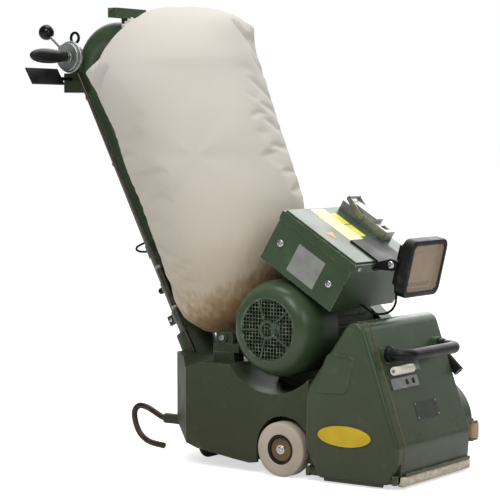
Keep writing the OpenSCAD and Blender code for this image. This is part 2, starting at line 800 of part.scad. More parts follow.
module fasteners() color("silver") placed() {
    // near end of the box and the lid
    on_box() for (p = [[-28, 52], [-165, 46]])
        translate([box_x[0], p[0], p[1]]) rotate([0, -90, 0]) screw(6, 3);
    on_box() for (x = [-112, 106]) translate([x, -box_len - 4, box_h + 9]) rotate([90, 0, 0]) screw(5, 2);
    // lamp pivots
    for (s = [-1, 1]) translate([s < 0 ? arm_x[0] : arm_x[1], lamp_p[0], lamp_p[1]])
        rotate([0, s * 90, 0]) {
            screw(8, 4);
            translate([0, 0, -12]) cylinder(h = 13, r = 3);
        }
    // belt guard
    for (p = [[-172, 97], [-70, 196], [30, 295], [205, 142]]) translate([181, p[0], p[1]])
        rotate([0, 90, 0]) translate([0, 0, 3]) screw(5, 1.5);
    // motor clamp bolt
    translate([clamp_p[0], clamp_p[1], 206]) cylinder(h = clamp_z + 18 - 206, r = 4);
    translate([clamp_p[0], clamp_p[1], clamp_z + 18]) cylinder(h = 6, r = 8);
}

module capacitors() color("#c8c8c4") placed() on_box() for (y = [-70, -130])
    translate([-100, y, 30]) rotate([0, 90, 0]) cylinder(h = 90, r = 22);

lid_top = box_h + lid_h;
plug_x = [60, 94];
plug_pivot = [-64, lid_top + 12];

module power_connector() color("#9ba09f") placed() on_box() {
    difference() {
        block([plug_x[0], -132, lid_top], [plug_x[1], -8, lid_top + 20]);
        block([plug_x[0] + 8, -122, lid_top + 14], [plug_x[1] - 8, -108, lid_top + 21]);
    }
    block([plug_x[0] + 3, -96, lid_top + 20], [plug_x[1] - 3, -26, lid_top + 29]);
    translate([plug_x[0] - 4, plug_pivot[0], plug_pivot[1]]) rotate([0, 90, 0])
        cylinder(h = plug_x[1] - plug_x[0] + 8, r = 3);
}

module connector_lever() color("#c9cccb") placed() on_box() {
    for (x = [plug_x[0] - 3.4, plug_x[1] + 0.4]) difference() {
        hull() {
            translate([x, plug_pivot[0], plug_pivot[1]]) rotate([0, 90, 0]) cylinder(h = 3, r = 7, $fn = 32);
            translate([x, -20, lid_top + 31]) rotate([0, 90, 0]) cylinder(h = 3, r = 5, $fn = 32);
        }
        translate([x - 1, plug_pivot[0], plug_pivot[1]]) rotate([0, 90, 0]) cylinder(h = 5, r = 3 + fit);
    }
    translate([plug_x[0] - 3.4, -20, lid_top + 34]) rotate([0, 90, 0])
        cylinder(h = plug_x[1] - plug_x[0] + 6.8, r = 3.4);
}

module switch_knob() color("#202020") placed() on_box() translate([box_x[1], -70, 50])
    rotate([0, 90, 0]) {
        translate([0, 0, gap]) cylinder(h = 6, r = 22);
        translate([0, 0, 6]) cylinder(h = 16, r = 17);
        translate([-20, -5, 6]) cube([40, 10, 18]);
        translate([0, 0, -12]) cylinder(h = 14, r = 5 - fit);
    }

arm_x = [lamp_x[0] - 6.8, lamp_x[1] + 6.8];

module lamp_bracket() color("#1a1a1a") placed() {
    on_box() {
        block([-55, -box_len - 6, lid_top], [50, -125, lid_top + 3.5]);
        block([arm_x[0] + 1, -box_len - 8, lid_top - 18], [arm_x[1] - 1, -box_len - 4, lid_top + 4]);
    }
    for (x = [arm_x[0], arm_x[1] - 4]) difference() {
        along_x(x, x + 4) hull() {
            translate(lamp_p) circle(12, $fn = 32);
            translate([-162.5, 421]) circle(1.2, $fn = 16);
            translate([-169.5, 432.5]) circle(1.2, $fn = 16);
        }
        rod(x - 1, x + 5, lamp_p, 3);
    }
}

module rounded_slab(x0, x1, z0, z1, r, h) translate([0, h, 0]) rotate([90, 0, 0]) linear_extrude(h)
    union() {
        translate([x0 + r, z0]) square([x1 - x0 - 2 * r, z1 - z0]);
        translate([x0, z0 + r]) square([x1 - x0, z1 - z0 - 2 * r]);
        for (x = [x0 + r, x1 - r]) for (z = [z0 + r, z1 - r]) translate([x, z]) circle(r);
    }

lamp_lead_x = -20;

module lamp_housing() color("#151515") placed() on_lamp() difference() {
    union() {
        translate([0, -36, 0]) rounded_slab(lamp_x[0], lamp_x[1], -61, 57, 14, 26);
        translate([0, -10, 0]) rounded_slab(lamp_x[0] + 16, lamp_x[1] - 16, -46, 42, 8, 10);
        for (i = [0 : 8]) block([lamp_x[0] + 20 + i * 12, -1, -42], [lamp_x[0] + 24 + i * 12, 6, 38]);
        translate([lamp_x[0] - 2.5, 0, 0]) rotate([0, 90, 0])
            cylinder(h = lamp_x[1] - lamp_x[0] + 5, r = 9);
        block([lamp_x[0], -12, -9], [lamp_x[1], 0, 9]);
        // gland of the lead
        translate([lamp_lead_x, -5, -64]) cylinder(h = 22, r = 4.5);
    }
    translate([0, -37, 0]) rounded_slab(lamp_x[0] + 10, lamp_x[1] - 10, -51, 47, 8, 18);
    for (x = [lamp_x[0] - 3, lamp_x[1] - 9]) translate([x, 0, 0]) rotate([0, 90, 0])
        cylinder(h = 12, r = 3 + fit);
}

module lamp_lens() color("#e6c9a8", 0.6) placed() on_lamp() translate([0, -34, 0])
    rounded_slab(lamp_x[0] + 10, lamp_x[1] - 10, -51, 47, 8, 3);

lamp_points = [[-189.8, 358], [-188, 348], [-180, 336], [-166, 328.5], [-150, 326], [-136, 328],
    [-124, 334], [-107.8, 343.1]];

module lamp_cable() color("#222222") placed()
    swept(smooth([for (p = lamp_points) [lamp_lead_x, p[0], p[1]]], 4), 2.5, 8);

module dust_bag() color("#cfc6ba") placed() difference() {
    hull() {
        slice(952, 355, 70, 14);
        slice(925, 336, 134, 70);
        slice(889, 336, 178, 130);
        slice(842, 348, 190, 172);
        slice(789, 361, 188, 190);
        slice(739, 344, 189, 189);
        slice(621, 295, 178, 178);
        slice(547, 262, 173, 180);
        slice(482, 245, 158, 176);
        slice(452, 236, 150, 170);
        slice(373, 234, 111, 146);
        slice(310, 232, 74, 106);
        slice(276, 236, 38, 58);
    }
    mouth(-60, 126, tube_r);
}

hook_points = [[383.3, 72], [394, 74], [412, 82], [434, 91], [456, 93], [469, 80], [467, 56],
    [453, 31], [427, 16], [388, 11]];

module tilt_hook() color("#8d8478") placed()
    swept(smooth([for (p = hook_points) [hook_p[0], p[0], p[1]]], 4), 6.5);

main_body();
drum_housing();
door_seal();
felt_strip();
front_handle();
belt_guard();
tilt_hook();
motor_frame();
fan_cowl();
stator();
ball_bearings();
control_box();
box_lid();
fasteners();
capacitors();
power_connector();
lamp_bracket();
v_belts();
wheel_axle();
hinge_pins();
fan_housing();
guide_tube();
cable_hook();
bag_bracket();
handle_block();
handle_bar();
side_grips();
hand_plate();
cable_ring();
notch_plate();
dust_bag();
bag_strap();
lamp_cable();
abrasive_belt();
side_door();
connector_lever();
switch_knob();
lamp_housing();
lamp_lens();
rotor();
cooling_fan();
motor_pulley();
sanding_drum();
drum_rubber();
tension_yoke();
tension_roller();
dust_fan();
near_tyre();
near_hub();
far_tyre();
far_hub();
rear_fork();
rear_roller();
wall_roller();
lift_lever();
ball_knob();
pull_rod();
tension_lever();
tension_grip();
belt_lever();
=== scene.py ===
"""Looks of a walk-behind floor drum sander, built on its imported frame.

Sizes are millimetres in the machine's own layout: X to the far side, -Y to the front, Z up from the floor,
with X 0 and Y 0 at the middle of the wheel axle.
"""

import json
from math import atan2, ceil, cos, exp, hypot, pi, radians, sin, sqrt, tan

import bmesh
import bpy
from mathutils import Matrix, Vector, noise
from mathutils.bvhtree import BVHTree

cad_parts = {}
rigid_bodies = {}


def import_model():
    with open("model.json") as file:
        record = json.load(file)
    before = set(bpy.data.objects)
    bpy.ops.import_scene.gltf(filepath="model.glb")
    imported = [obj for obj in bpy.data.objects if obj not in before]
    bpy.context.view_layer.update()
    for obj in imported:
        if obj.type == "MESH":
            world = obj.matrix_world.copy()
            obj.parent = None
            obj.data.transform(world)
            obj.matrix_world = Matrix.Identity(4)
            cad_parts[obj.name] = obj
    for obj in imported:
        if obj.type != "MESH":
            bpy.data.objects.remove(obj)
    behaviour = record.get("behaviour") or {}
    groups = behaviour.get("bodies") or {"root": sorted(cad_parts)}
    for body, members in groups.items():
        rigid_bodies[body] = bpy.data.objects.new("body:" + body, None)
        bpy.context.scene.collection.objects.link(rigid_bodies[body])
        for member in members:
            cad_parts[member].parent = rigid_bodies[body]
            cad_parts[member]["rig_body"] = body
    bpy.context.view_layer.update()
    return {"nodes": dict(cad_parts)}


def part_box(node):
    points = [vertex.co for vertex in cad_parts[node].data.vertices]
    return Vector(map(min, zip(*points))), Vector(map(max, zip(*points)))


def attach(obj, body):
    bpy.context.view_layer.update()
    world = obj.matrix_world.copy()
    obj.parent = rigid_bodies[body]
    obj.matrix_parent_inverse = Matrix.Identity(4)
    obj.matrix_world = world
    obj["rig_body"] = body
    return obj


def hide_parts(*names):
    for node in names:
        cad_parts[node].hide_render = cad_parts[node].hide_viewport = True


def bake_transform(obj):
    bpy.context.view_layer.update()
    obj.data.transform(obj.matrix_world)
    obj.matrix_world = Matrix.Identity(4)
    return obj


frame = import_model()
NODES = frame["nodes"]

MM = 0.001
axle_low, axle_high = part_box("wheel_axle")
ORIGIN = (axle_low + axle_high) / 2
ORIGIN.z = 0.0

# ---- frames


def turned(angle, axis="X"):
    return Matrix.Rotation(radians(angle), 4, axis)


def moved(x, y, z):
    return Matrix.Translation((x, y, z))


WORLD = Matrix.Translation(ORIGIN) @ Matrix.Scale(MM, 4)
FACING_X = turned(90, "Y")
FACING_BACK_X = turned(-90, "Y")
FACING_FRONT = turned(90, "X")


def leftward(x, y, z):
    """Frame at a point with its own Z towards the near side."""
    return moved(x, y, z) @ FACING_BACK_X


TUBE_P = (335.0, 276.5)
TUBE_LEAN = 27.0
TUBE_R = 30.0
STRAIGHT = 585.3
BEND_R = 73.0
MOUTH_A = 93.0
LEAN = radians(TUBE_LEAN)
BEND_START = (TUBE_P[0] + STRAIGHT * sin(LEAN), TUBE_P[1] + STRAIGHT * cos(LEAN))
BEND_C = (BEND_START[0] - BEND_R * cos(LEAN), BEND_START[1] + BEND_R * sin(LEAN))
MOUTH_END = radians(MOUTH_A)
MOUTH_P = (BEND_C[0] + BEND_R * cos(MOUTH_END), BEND_C[1] + BEND_R * sin(MOUTH_END))
TUBE = WORLD @ moved(0, *TUBE_P) @ turned(-TUBE_LEAN)
MOUTH = WORLD @ moved(0, *MOUTH_P) @ turned(MOUTH_A)

BOX_SLOPE = 31.5
BOX_P = (63.5, 438.7)
BOX_X = (-130.0, 112.0)
BOX_LEN = 196.0
BOX_H = 93.0
LID_TOP = 116.0
BOX = WORLD @ moved(0, *BOX_P) @ turned(BOX_SLOPE)

LAMP_P = (-202.0, 429.0)
LAMP_X = (-52.0, 91.0)
LAMP = WORLD @ moved(0, *LAMP_P) @ turned(13.2)

MOTOR_C = (30.0, 295.0)
COWL = WORLD @ leftward(0, *MOTOR_C)
COWL_R = 100.0
GRILLE_R = 64.0

WHEEL_R = 55.5
WHEEL_W = 38.0
NEAR_WHEEL = WORLD @ moved(-154, 0, WHEEL_R) @ FACING_X
FAR_WHEEL = WORLD @ leftward(154, 0, WHEEL_R)

HUB_P = (631.0, 858.0)

# Circles (y, z, radius) that the housing's outline wraps: rear foot, rear shoulder, top, nose and front foot
HOUSING = [(-69, 17, 9), (-120, 160, 60), (-174, 296, 25), (-237, 78, 38), (-261, 17, 9)]
# The same kind of loop for the door's raised face, whose lower corners are cut off
DOOR = [(-97.6, 22, 14), (-74, 72.9, 14), *HOUSING[1:4], (-259, 56, 14), (-242.5, 22, 14)]
DOOR_FACE = -155.0
DOOR_EDGE = -146.0
DOOR_BACK = -128.3


def touch(a, b):
    """Normal of the line that touches two circles on their right-hand side."""
    dy, dz = b[0] - a[0], b[1] - a[1]
    gone = hypot(dy, dz)
    uy, uz = dy / gone, dz / gone
    k = (a[2] - b[2]) / gone
    s = sqrt(1 - k * k)
    return (k * uy + s * uz, k * uz - s * uy)


def spot(c, n, by=0.0):
    return (c[0] + (c[2] + by) * n[0], c[1] + (c[2] + by) * n[1])


def wrapped(loop, by=0.0, step=6):
    """The outline (y, z) of a band round a loop of circles, each arc in steps of about step degrees."""
    points = []
    for i, c in enumerate(loop):
        before, after = loop[i - 1], loop[(i + 1) % len(loop)]
        start, end = touch(before, c), touch(c, after)
        a0, a1 = atan2(start[1], start[0]), atan2(end[1], end[0])
        while a1 < a0 - 1e-9:
            a1 += 2 * pi
        count = max(1, ceil((a1 - a0) / radians(step)))
        for k in range(count + 1):
            a = a0 + (a1 - a0) * k / count
            points.append((c[0] + (c[2] + by) * cos(a), c[1] + (c[2] + by) * sin(a)))
    return points


def on_front(x, z):
    """Frame on the sloping front of the housing at height z, with -Y out of the face."""
    apex, nose = HOUSING[2], HOUSING[3]
    n = touch(apex, nose)
    a, b = spot(apex, n), spot(nose, n)
    t = (a[1] - z) / (a[1] - b[1])
    return WORLD @ moved(x, a[0] + t * (b[0] - a[0]), z) @ Matrix.Rotation(-atan2(n[1], -n[0]), 4, "X")


# ---- materials


class Nodes:
    """A node tree and short ways to add to it. A value is a number, a colour or another node's socket."""

    def __init__(self, tree):
        self.tree = tree

    def put(self, value, socket):
        if isinstance(value, bpy.types.NodeSocket):
            self.tree.links.new(value, socket)
        else:
            socket.default_value = value

    def node(self, kind, **inputs):
        made = self.tree.nodes.new(kind)
        for name, value in inputs.items():
            self.put(value, made.inputs[name])
        return made

    def filled(self, kind, operation, *values):
        """A node with an operation, its first sockets filled in order."""
        made = self.tree.nodes.new(kind)
        made.operation = operation
        for value, socket in zip(values, made.inputs):
            self.put(value, socket)
        return made

    def maths(self, operation, a, b):
        return self.filled("ShaderNodeMath", operation, a, b).outputs[0]

    def dot(self, a, b):
        return self.filled("ShaderNodeVectorMath", "DOT_PRODUCT", a, b).outputs["Value"]

    def span(self, value, low, high, start=0.3, end=0.7):
        """The value's run from start to end, spread over low to high."""
        ranged = self.node("ShaderNodeMapRange", Value=value)
        for name, number in (("From Min", start), ("From Max", end), ("To Min", low), ("To Max", high)):
            ranged.inputs[name].default_value = number
        return ranged.outputs["Result"]

    def mix(self, amount, a, b, kind="RGBA"):
        mixer = self.tree.nodes.new("ShaderNodeMix")
        mixer.data_type = kind
        first = 6 if kind == "RGBA" else 2
        for number, value in ((0, amount), (first, a), (first + 1, b)):
            self.put(value, mixer.inputs[number])
        return mixer.outputs[2 if kind == "RGBA" else 0]

    def ray(self, kind):
        return self.node("ShaderNodeLightPath").outputs[kind]

    def height(self, way):
        return self.node("ShaderNodeSeparateXYZ", Vector=way).outputs["Z"]


class Finish(Nodes):
    """A material: Principled shader, object coordinates and a few ways to vary them."""

    def __init__(self, name, roughness=0.5, metallic=0.0):
        self.material = bpy.data.materials.new(name)
        self.material.use_nodes = True
        super().__init__(self.material.node_tree)
        self.shader = self.tree.nodes["Principled BSDF"]
        self.shade("Roughness", roughness)
        self.shade("Metallic", metallic)
        self.place = self.node("ShaderNodeTexCoord").outputs["Object"]
        self.normal = None

    def shade(self, name, value):
        self.put(value, self.shader.inputs[name])

    def colour(self, value):
        self.shade("Base Color", value)

    def noise(self, scale, detail=3.0, stretch=None):
        where = self.place
        if stretch:
            where = self.node("ShaderNodeMapping", Vector=where, Scale=stretch).outputs["Vector"]
        return self.node("ShaderNodeTexNoise", Vector=where, Scale=scale, Detail=detail).outputs["Fac"]

    def tones(self, value, dark, light, *ends):
        """A colour between two hex codes."""
        return self.mix(self.span(value, 0, 1, *ends), srgb(dark), srgb(light))

    def spotted(self, base, code, scale, most, *ends, detail=6.0):
        """The base with spots of another colour."""
        return self.mix(self.span(self.noise(scale, detail), 0, most, *ends), base, srgb(code))

    def rough(self, value, low, high):
        self.shade("Roughness", self.span(value, low, high))

    def bump(self, height, strength, distance):
        made = self.node("ShaderNodeBump", Height=height, Strength=strength, Distance=distance)
        if self.normal:
            self.tree.links.new(self.normal, made.inputs["Normal"])
        self.normal = made.outputs["Normal"]
        self.shade("Normal", self.normal)

    def edges(self, radius=0.0025):
        """1 on convex and concave edges, 0 on open faces."""
        bevel = self.node("ShaderNodeBevel", Radius=radius)
        bevel.samples = 4
        flat = self.node("ShaderNodeNewGeometry").outputs["Normal"]
        return self.span(self.dot(bevel.outputs["Normal"], flat), 1, 0, 0.90, 0.99)


def srgb(code):
    """Linear colour with alpha from a hex code."""
    parts = [int(code[i : i + 2], 16) / 255 for i in (1, 3, 5)]
    return tuple([p / 12.92 if p <= 0.04045 else ((p + 0.055) / 1.055) ** 2.4 for p in parts] + [1.0])


def enamel(name, dark, light, worn, sand=0.0, coat=0.18, gloss=(0.27, 0.40)):
    """Machine enamel: slow colour drift, painted shade and painted reflection low down, orange peel, a few
    scuffs and rubbed edges.
    """
    m = Finish(name)
    base = m.tones(m.noise(5.0, 4.0), dark, light)
    # painted shade and painted reflection of the felt: the paint turns darker and browner towards the floor
    base = m.mix(m.span(m.height(m.place), 0.55, 0, 0.02, 0.34), base, srgb("#3a3421"))
    base = m.spotted(base, "#8f9482", 38.0, 0.10, 0.58, 0.8)
    rubbed = m.maths("MULTIPLY", m.edges(), m.span(m.noise(90.0, 4.0), 0, 0.75, 0.45, 0.65))
    m.colour(m.mix(rubbed, base, srgb(worn)))
    m.rough(m.noise(14.0, 5.0), *gloss)
    m.bump(m.noise(420.0, 2.0), 0.12, 0.0004)
    if sand:
        m.bump(m.noise(150.0, 4.0), sand, 0.0009)
    m.shade("Specular IOR Level", 0.38)
    m.shade("Coat Weight", coat)
    m.shade("Coat Roughness", 0.2)
    return m.material


def metal(name, dark, light, low, high, grain=(1, 1, 1), scale=60.0):
    """Bare or plated metal with a grain direction, small stains and varied gloss."""
    m = Finish(name, metallic=1.0)
    streak = m.noise(scale, 5.0, grain)
    m.colour(m.spotted(m.tones(streak, dark, light), "#6d675c", 16.0, 0.35, 0.58, 0.75))
    m.rough(streak, low, high)
    m.bump(streak, 0.08, 0.0003)
    return m.material


def plastic(name, dark, light, low, high, grain=600.0, strength=0.12):
    """Moulded plastic or rubber: fine grain, a little dust and uneven gloss."""
    m = Finish(name)
    m.colour(m.spotted(m.tones(m.noise(9.0, 4.0), dark, light), "#a49c8c", 45.0, 0.10, 0.58, 0.8))
    m.rough(m.noise(22.0, 4.0), low, high)
    m.bump(m.noise(grain, 2.0), strength, 0.0004)
    m.shade("Specular IOR Level", 0.34)
    return m.material


def weave(m, pitch, strength):
    """Two crossed families of threads, as a bump."""
    families = []
    for way in ("Z", "DIAGONAL"):
        wave = m.node("ShaderNodeTexWave", Vector=m.place, Scale=0.32 / pitch, Distortion=0.6, Detail=1.0)
        wave.bands_direction = way
        families.append(wave.outputs["Fac"])
    m.bump(m.maths("ADD", *families), strength, pitch * 0.25)


def bag_cloth():
    """Cream filter cloth that turns tan and then brown towards its stained bottom."""
    m = Finish("bag_cloth", roughness=0.92)
    blotch = m.noise(7.0, 5.0)
    cream = m.tones(blotch, "#cac4bb", "#d0cac2")
    cream = m.mix(m.span(m.height(m.place), 0.8, 0, 0.45, 0.80), cream, srgb("#c6bcab"))
    # the stain's edge rises towards the front seam, with short streaks that fan upwards
    streaks = m.noise(75.0, 5.0, (1.0, 1.0, 0.22))
    lifted = m.maths("ADD", m.dot(m.place, (-0.33, 0.47, 1.0)), m.span(blotch, -0.012, 0.012))
    lifted = m.maths("ADD", lifted, m.span(streaks, -0.022, 0.022))
    brown = m.tones(m.noise(70.0, 7.0), "#8a6636", "#a07b4c")
    tan_cloth = m.mix(m.span(lifted, 0.45, 0.0, 0.36, 0.50), cream, srgb("#b79a70"))
    m.colour(m.mix(m.span(lifted, 0.92, 0.0, 0.335, 0.405), tan_cloth, brown))
    weave(m, 0.0011, 0.2)
    m.bump(m.noise(60.0, 4.0), 0.12, 0.0010)
    m.shade("Sheen Weight", 0.2)
    m.shade("Sheen Roughness", 0.5)
    return m.material


def plain_cloth(name, dark, light, pitch=0.0009):
    m = Finish(name, roughness=0.88)
    m.colour(m.tones(m.noise(30.0, 5.0), dark, light))
    weave(m, pitch, 0.35)
    m.shade("Sheen Weight", 0.2)
    return m.material


def felt():
    """Pressed wool felt: matted fibres and dirt near the floor."""
    m = Finish("felt", roughness=0.97)
    fibres = m.noise(260.0, 8.0, (0.25, 1.0, 1.0))
    clean = m.tones(fibres, "#b8a98f", "#dcd3c3", 0.35, 0.65)
    m.colour(m.mix(m.span(m.height(m.place), 0.7, 0, 0.004, 0.016), clean, srgb("#8d7a5c")))
    m.bump(fibres, 0.7, 0.0012)
    m.shade("Sheen Weight", 0.5)
    return m.material


def abrasive():
    m = Finish("abrasive", roughness=0.95)
    grit = m.node("ShaderNodeTexVoronoi", Vector=m.place, Scale=900).outputs["Distance"]
    m.colour(m.tones(grit, "#7a4a35", "#3f231b", 0.0, 0.6))
    m.bump(grit, 0.8, 0.0006)
    return m.material


def clear_lens():
    """Worklight glass over a warm reflector, with spots of dust."""
    m = Finish("lens")
    m.colour(m.spotted(srgb("#a98f74"), "#c9b8a2", 40.0, 0.5, 0.45, 0.8))
    m.rough(m.noise(30.0, 3.0), 0.08, 0.25)
    m.bump(m.noise(300.0, 2.0), 0.05, 0.0004)
    m.shade("Alpha", 0.42)
    m.shade("Coat Weight", 0.6)
    return m.material


def printed(name, base, tint, roughness=0.45):
    """A blank printed label: slight fading and fine scuffs."""
    m = Finish(name, roughness=roughness)
    faded = m.tones(m.noise(35.0, 5.0), base, tint, 0.35, 0.65)
    m.colour(m.spotted(faded, "#8c8672", 140.0, 0.3, 0.6, 0.75, detail=7.0))
    m.bump(m.noise(500.0, 2.0), 0.06, 0.0003)
    return m.material


GREEN = enamel("green_paint", "#31422a", "#3e523a", "#8f9684")
CAST_GREEN = enamel("cast_green_paint", "#2c3821", "#38472f", "#7d8470", 0.3, 0.04, (0.46, 0.62))
DARK_GREEN = enamel("dark_paint", "#25301f", "#303f2d", "#7b8170", sand=0.2)
STEEL = metal("steel", "#8f9190", "#b9bbb9", 0.28, 0.45, (1, 1, 6))
CHROME = metal("chrome", "#c2c4c4", "#dddfdf", 0.10, 0.24)
ALUMINIUM = metal("cast_aluminium", "#a2a5a3", "#c4c7c5", 0.38, 0.58, scale=160.0)
BLACK_STEEL = metal("black_steel", "#232526", "#3a3d3e", 0.35, 0.55)
WIRE = metal("bent_rod_steel", "#4a4037", "#6b6258", 0.35, 0.6)
GREY_RUBBER = plastic("grey_rubber", "#a89c8c", "#bcb0a0", 0.6, 0.85, 240.0, 0.3)
BLACK_RUBBER = plastic("black_rubber", "#141414", "#202020", 0.55, 0.8, 300.0, 0.3)
BLACK_PLASTIC = plastic("black_plastic", "#070707", "#0f0f0f", 0.34, 0.5, 700.0, 0.2)
LAMP_BLACK = plastic("lamp_black", "#070707", "#0e0e0e", 0.38, 0.55, 500.0, 0.35)
BALL_PLASTIC = plastic("ball_plastic", "#0c0c0c", "#141414", 0.10, 0.2, 60.0, 0.03)
WHITE_PLASTIC = plastic("white_plastic", "#ddd6c6", "#ebe6da", 0.3, 0.5, 300.0, 0.1)
ROLLER_PLASTIC = plastic("roller_plastic", "#a58a68", "#bda280", 0.4, 0.6, 200.0, 0.2)
FAN_PLASTIC = plastic("fan_plastic", "#1d1f1c", "#2b2d29", 0.45, 0.65)
GREY_PLASTIC = plastic("grey_plastic", "#b7b5ad", "#c9c7bf", 0.4, 0.6)
BROWN_SEAL = plastic("brown_seal", "#5d5038", "#766549", 0.6, 0.85, 180.0, 0.4)
BRONZE = metal("brass", "#6b5a3c", "#8a7350", 0.3, 0.5)
BAG_CLOTH = bag_cloth()
STRAP_CLOTH = plain_cloth("strap_cloth", "#bfb478", "#d3c990")
TAPE_CLOTH = plain_cloth("seam_tape", "#c3baad", "#cfc7bb", 0.0007)
FELT = felt()
ABRASIVE = abrasive()
LENS = clear_lens()
PALE_LABEL = printed("pale_label", "#ece7a2", "#f2edc0")
BRIGHT_LABEL = printed("bright_label", "#d8d22e", "#e4de50")
MARK_LABEL = printed("mark_label", "#d99a3a", "#e2aa4e")
OVAL_LABEL = printed("oval_label", "#bfa006", "#cdb012")
OVAL_RIM = printed("oval_rim", "#2c2e20", "#3c3e2c")
GREY_LABEL = printed("grey_label", "#7f817c", "#90928c", 0.38)
DARK_LABEL = printed("dark_label", "#23261f", "#2e3229", 0.4)
LAMP_BOARD = printed("lamp_board", "#c9a682", "#dcc0a0", 0.5)
LAMP_REFLECTOR = printed("lamp_reflector", "#c4b4a0", "#d5c8b8", 0.35)

# Names of materials kept apart from the rest; nothing below reads this list.
NO_SLOT = ["brass", "lamp_board", "lamp_reflector", "oval_rim"]
NO_SLOT += [kind + "_label" for kind in ("pale", "bright", "mark", "oval", "grey", "dark")]


# ---- shapes


def round_ring(reach, h, sides):
    """Points at height h round local Z. reach gives the radius of the point with number k."""
    turns = [2 * pi * k / sides for k in range(sides)]
    return [(reach(k) * cos(a), reach(k) * sin(a), h) for k, a in enumerate(turns)]


def quarter(count):
    """Angles of a quarter turn in count steps."""
    return [radians(90 * k / count) for k in range(count + 1)]


def collar(inner, outer, h, across, along):
    """Profile of a ring of height h, its outer edges cut back by across and along."""
    edge = outer - across
    return [(inner, 0), (edge, 0), (outer, along), (outer, h - along), (edge, h), (inner, h)]


class Shape:
    """Points in millimetres and faces, gathered from simple solids."""

    def __init__(self):
        self.points = []
        self.faces = []

    def add(self, points, faces, where=Matrix()):
        start = len(self.points)
        self.points += [where @ Vector(p) for p in points]
        self.faces += [[start + i for i in face] for face in faces]
        return self

    def rings(self, rings, where=Matrix(), closed=False):
        """Skins a row of rings with the same number of points, and caps both ends of an open row."""
        n = len(rings[0])
        last = len(rings) - 1
        faces = []
        for i in range(last + closed):
            j = (i + 1) % len(rings)
            for k in range(n):
                m = (k + 1) % n
                faces.append([i * n + k, i * n + m, j * n + m, j * n + k])
        if not closed:
            faces.append(list(range(n - 1, -1, -1)))
            faces.append([last * n + k for k in range(n)])
        return self.add([p for ring in rings for p in ring], faces, where)

    def lathe(self, profile, where=Matrix(), sides=48, closed=False):
        """Turns (radius, height) points about local Z. A closed profile makes a ring."""
        return self.rings([round_ring(lambda k: r, h, sides) for r, h in profile], where, closed)

    def bar(self, route, radius, sides=12, where=Matrix(), start_side=(1, 0, 0)):
        """A round bar along a route. radius is a number or one number for each point."""
        route = [Vector(p) for p in route]
        radii = radius if isinstance(radius, list) else [radius] * len(route)
        side = Vector(start_side)
        rings = []
        for i, p in enumerate(route):
            ahead = (route[min(i + 1, len(route) - 1)] - route[max(i - 1, 0)]).normalized()
            side = (side - side.dot(ahead) * ahead).normalized()
            other = ahead.cross(side)
            turns = [2 * pi * k / sides for k in range(sides)]
            rings.append([p + radii[i] * (cos(a) * side + sin(a) * other) for a in turns])
        return self.rings(rings, where)

    def box(self, low, high, rounding=0.8, where=Matrix()):
        """A box with rounded edges."""
        bm = bmesh.new()
        bmesh.ops.create_cube(bm, size=1)
        for v in bm.verts:
            v.co = Vector([(high[i] + low[i]) / 2 + v.co[i] * (high[i] - low[i]) for i in range(3)])
        if rounding:
            bmesh.ops.bevel(bm, geom=bm.edges[:], offset=rounding, segments=2, profile=0.5, affect="EDGES")
        bm.verts.ensure_lookup_table()
        points = [v.co.copy() for v in bm.verts]
        faces = [[v.index for v in f.verts] for f in bm.faces]
        bm.free()
        return self.add(points, faces, where)

    def slab(self, outline, low, high, rounding=0.0, where=Matrix()):
        """A flat outline (x, y), counter-clockwise, given a thickness along Z and a rounded top edge."""
        rings = [[(x, y, low) for x, y in outline]]
        if rounding:
            for a in quarter(3):
                inner = inset(outline, rounding * (1 - cos(a)))
                rings.append([(x, y, high - rounding + rounding * sin(a)) for x, y in inner])
        else:
            rings.append([(x, y, high) for x, y in outline])
        return self.rings(rings, where)


def inset(outline, by):
    """A convex outline moved inwards along the normals of its corners."""
    if by <= 0:
        return list(outline)
    moved_in = []
    n = len(outline)
    for i in range(n):
        p, q, r = Vector(outline[i - 1]), Vector(outline[i]), Vector(outline[(i + 1) % n])
        a, b = (q - p).normalized(), (r - q).normalized()
        normal = Vector((-(a.y + b.y), a.x + b.x))
        if normal.length < 1e-6:
            moved_in.append(tuple(q))
            continue
        normal.normalize()
        spread = max(0.5, normal.dot(Vector((-a.y, a.x))))
        moved_in.append(tuple(q + normal * by / spread))
    return moved_in


def soft_box(x0, y0, x1, y1, r, steps=5):
    """A rectangle with round corners."""
    points = []
    corners = ((x1 - r, y1 - r, 0), (x0 + r, y1 - r, 90), (x0 + r, y0 + r, 180), (x1 - r, y0 + r, 270))
    for cx, cy, start in corners:
        for k in range(steps + 1):
            a = radians(start + 90 * k / steps)
            points.append((cx + r * cos(a), cy + r * sin(a)))
    return points


def ellipse(cx, cy, a, b, sides=48):
    return [(cx + a * cos(2 * pi * k / sides), cy + b * sin(2 * pi * k / sides)) for k in range(sides)]


def between(p0, p1, p2, p3, t):
    """The Catmull-Rom curve from p1 to p2."""
    bent = (2 * p0 - 5 * p1 + 4 * p2 - p3) * t * t
    return 0.5 * (2 * p1 + (p2 - p0) * t + bent + (3 * p1 - p0 - 3 * p2 + p3) * t**3)


def around(points, i):
    """The four points of a list that shape the curve after point i."""
    last = len(points) - 1
    return [points[max(i - 1, 0)], points[i], points[i + 1], points[min(i + 2, last)]]


def smooth(points, steps):
    """Points on a smooth curve through a list of points."""
    points = [Vector(p) for p in points]
    out = []
    for i in range(len(points) - 1):
        out += [between(*around(points, i), k / steps) for k in range(steps)]
    return out + [points[-1]]


def edited(mesh, change):
    """Runs a change on the mesh's editable form."""
    bm = bmesh.new()
    bm.from_mesh(mesh)
    change(bm)
    bm.to_mesh(mesh)
    bm.free()


def faced_out(bm):
    bmesh.ops.recalc_face_normals(bm, faces=bm.faces)


def linked(name, data):
    """A new object in the scene."""
    obj = bpy.data.objects.new(name, data)
    bpy.context.scene.collection.objects.link(obj)
    return obj


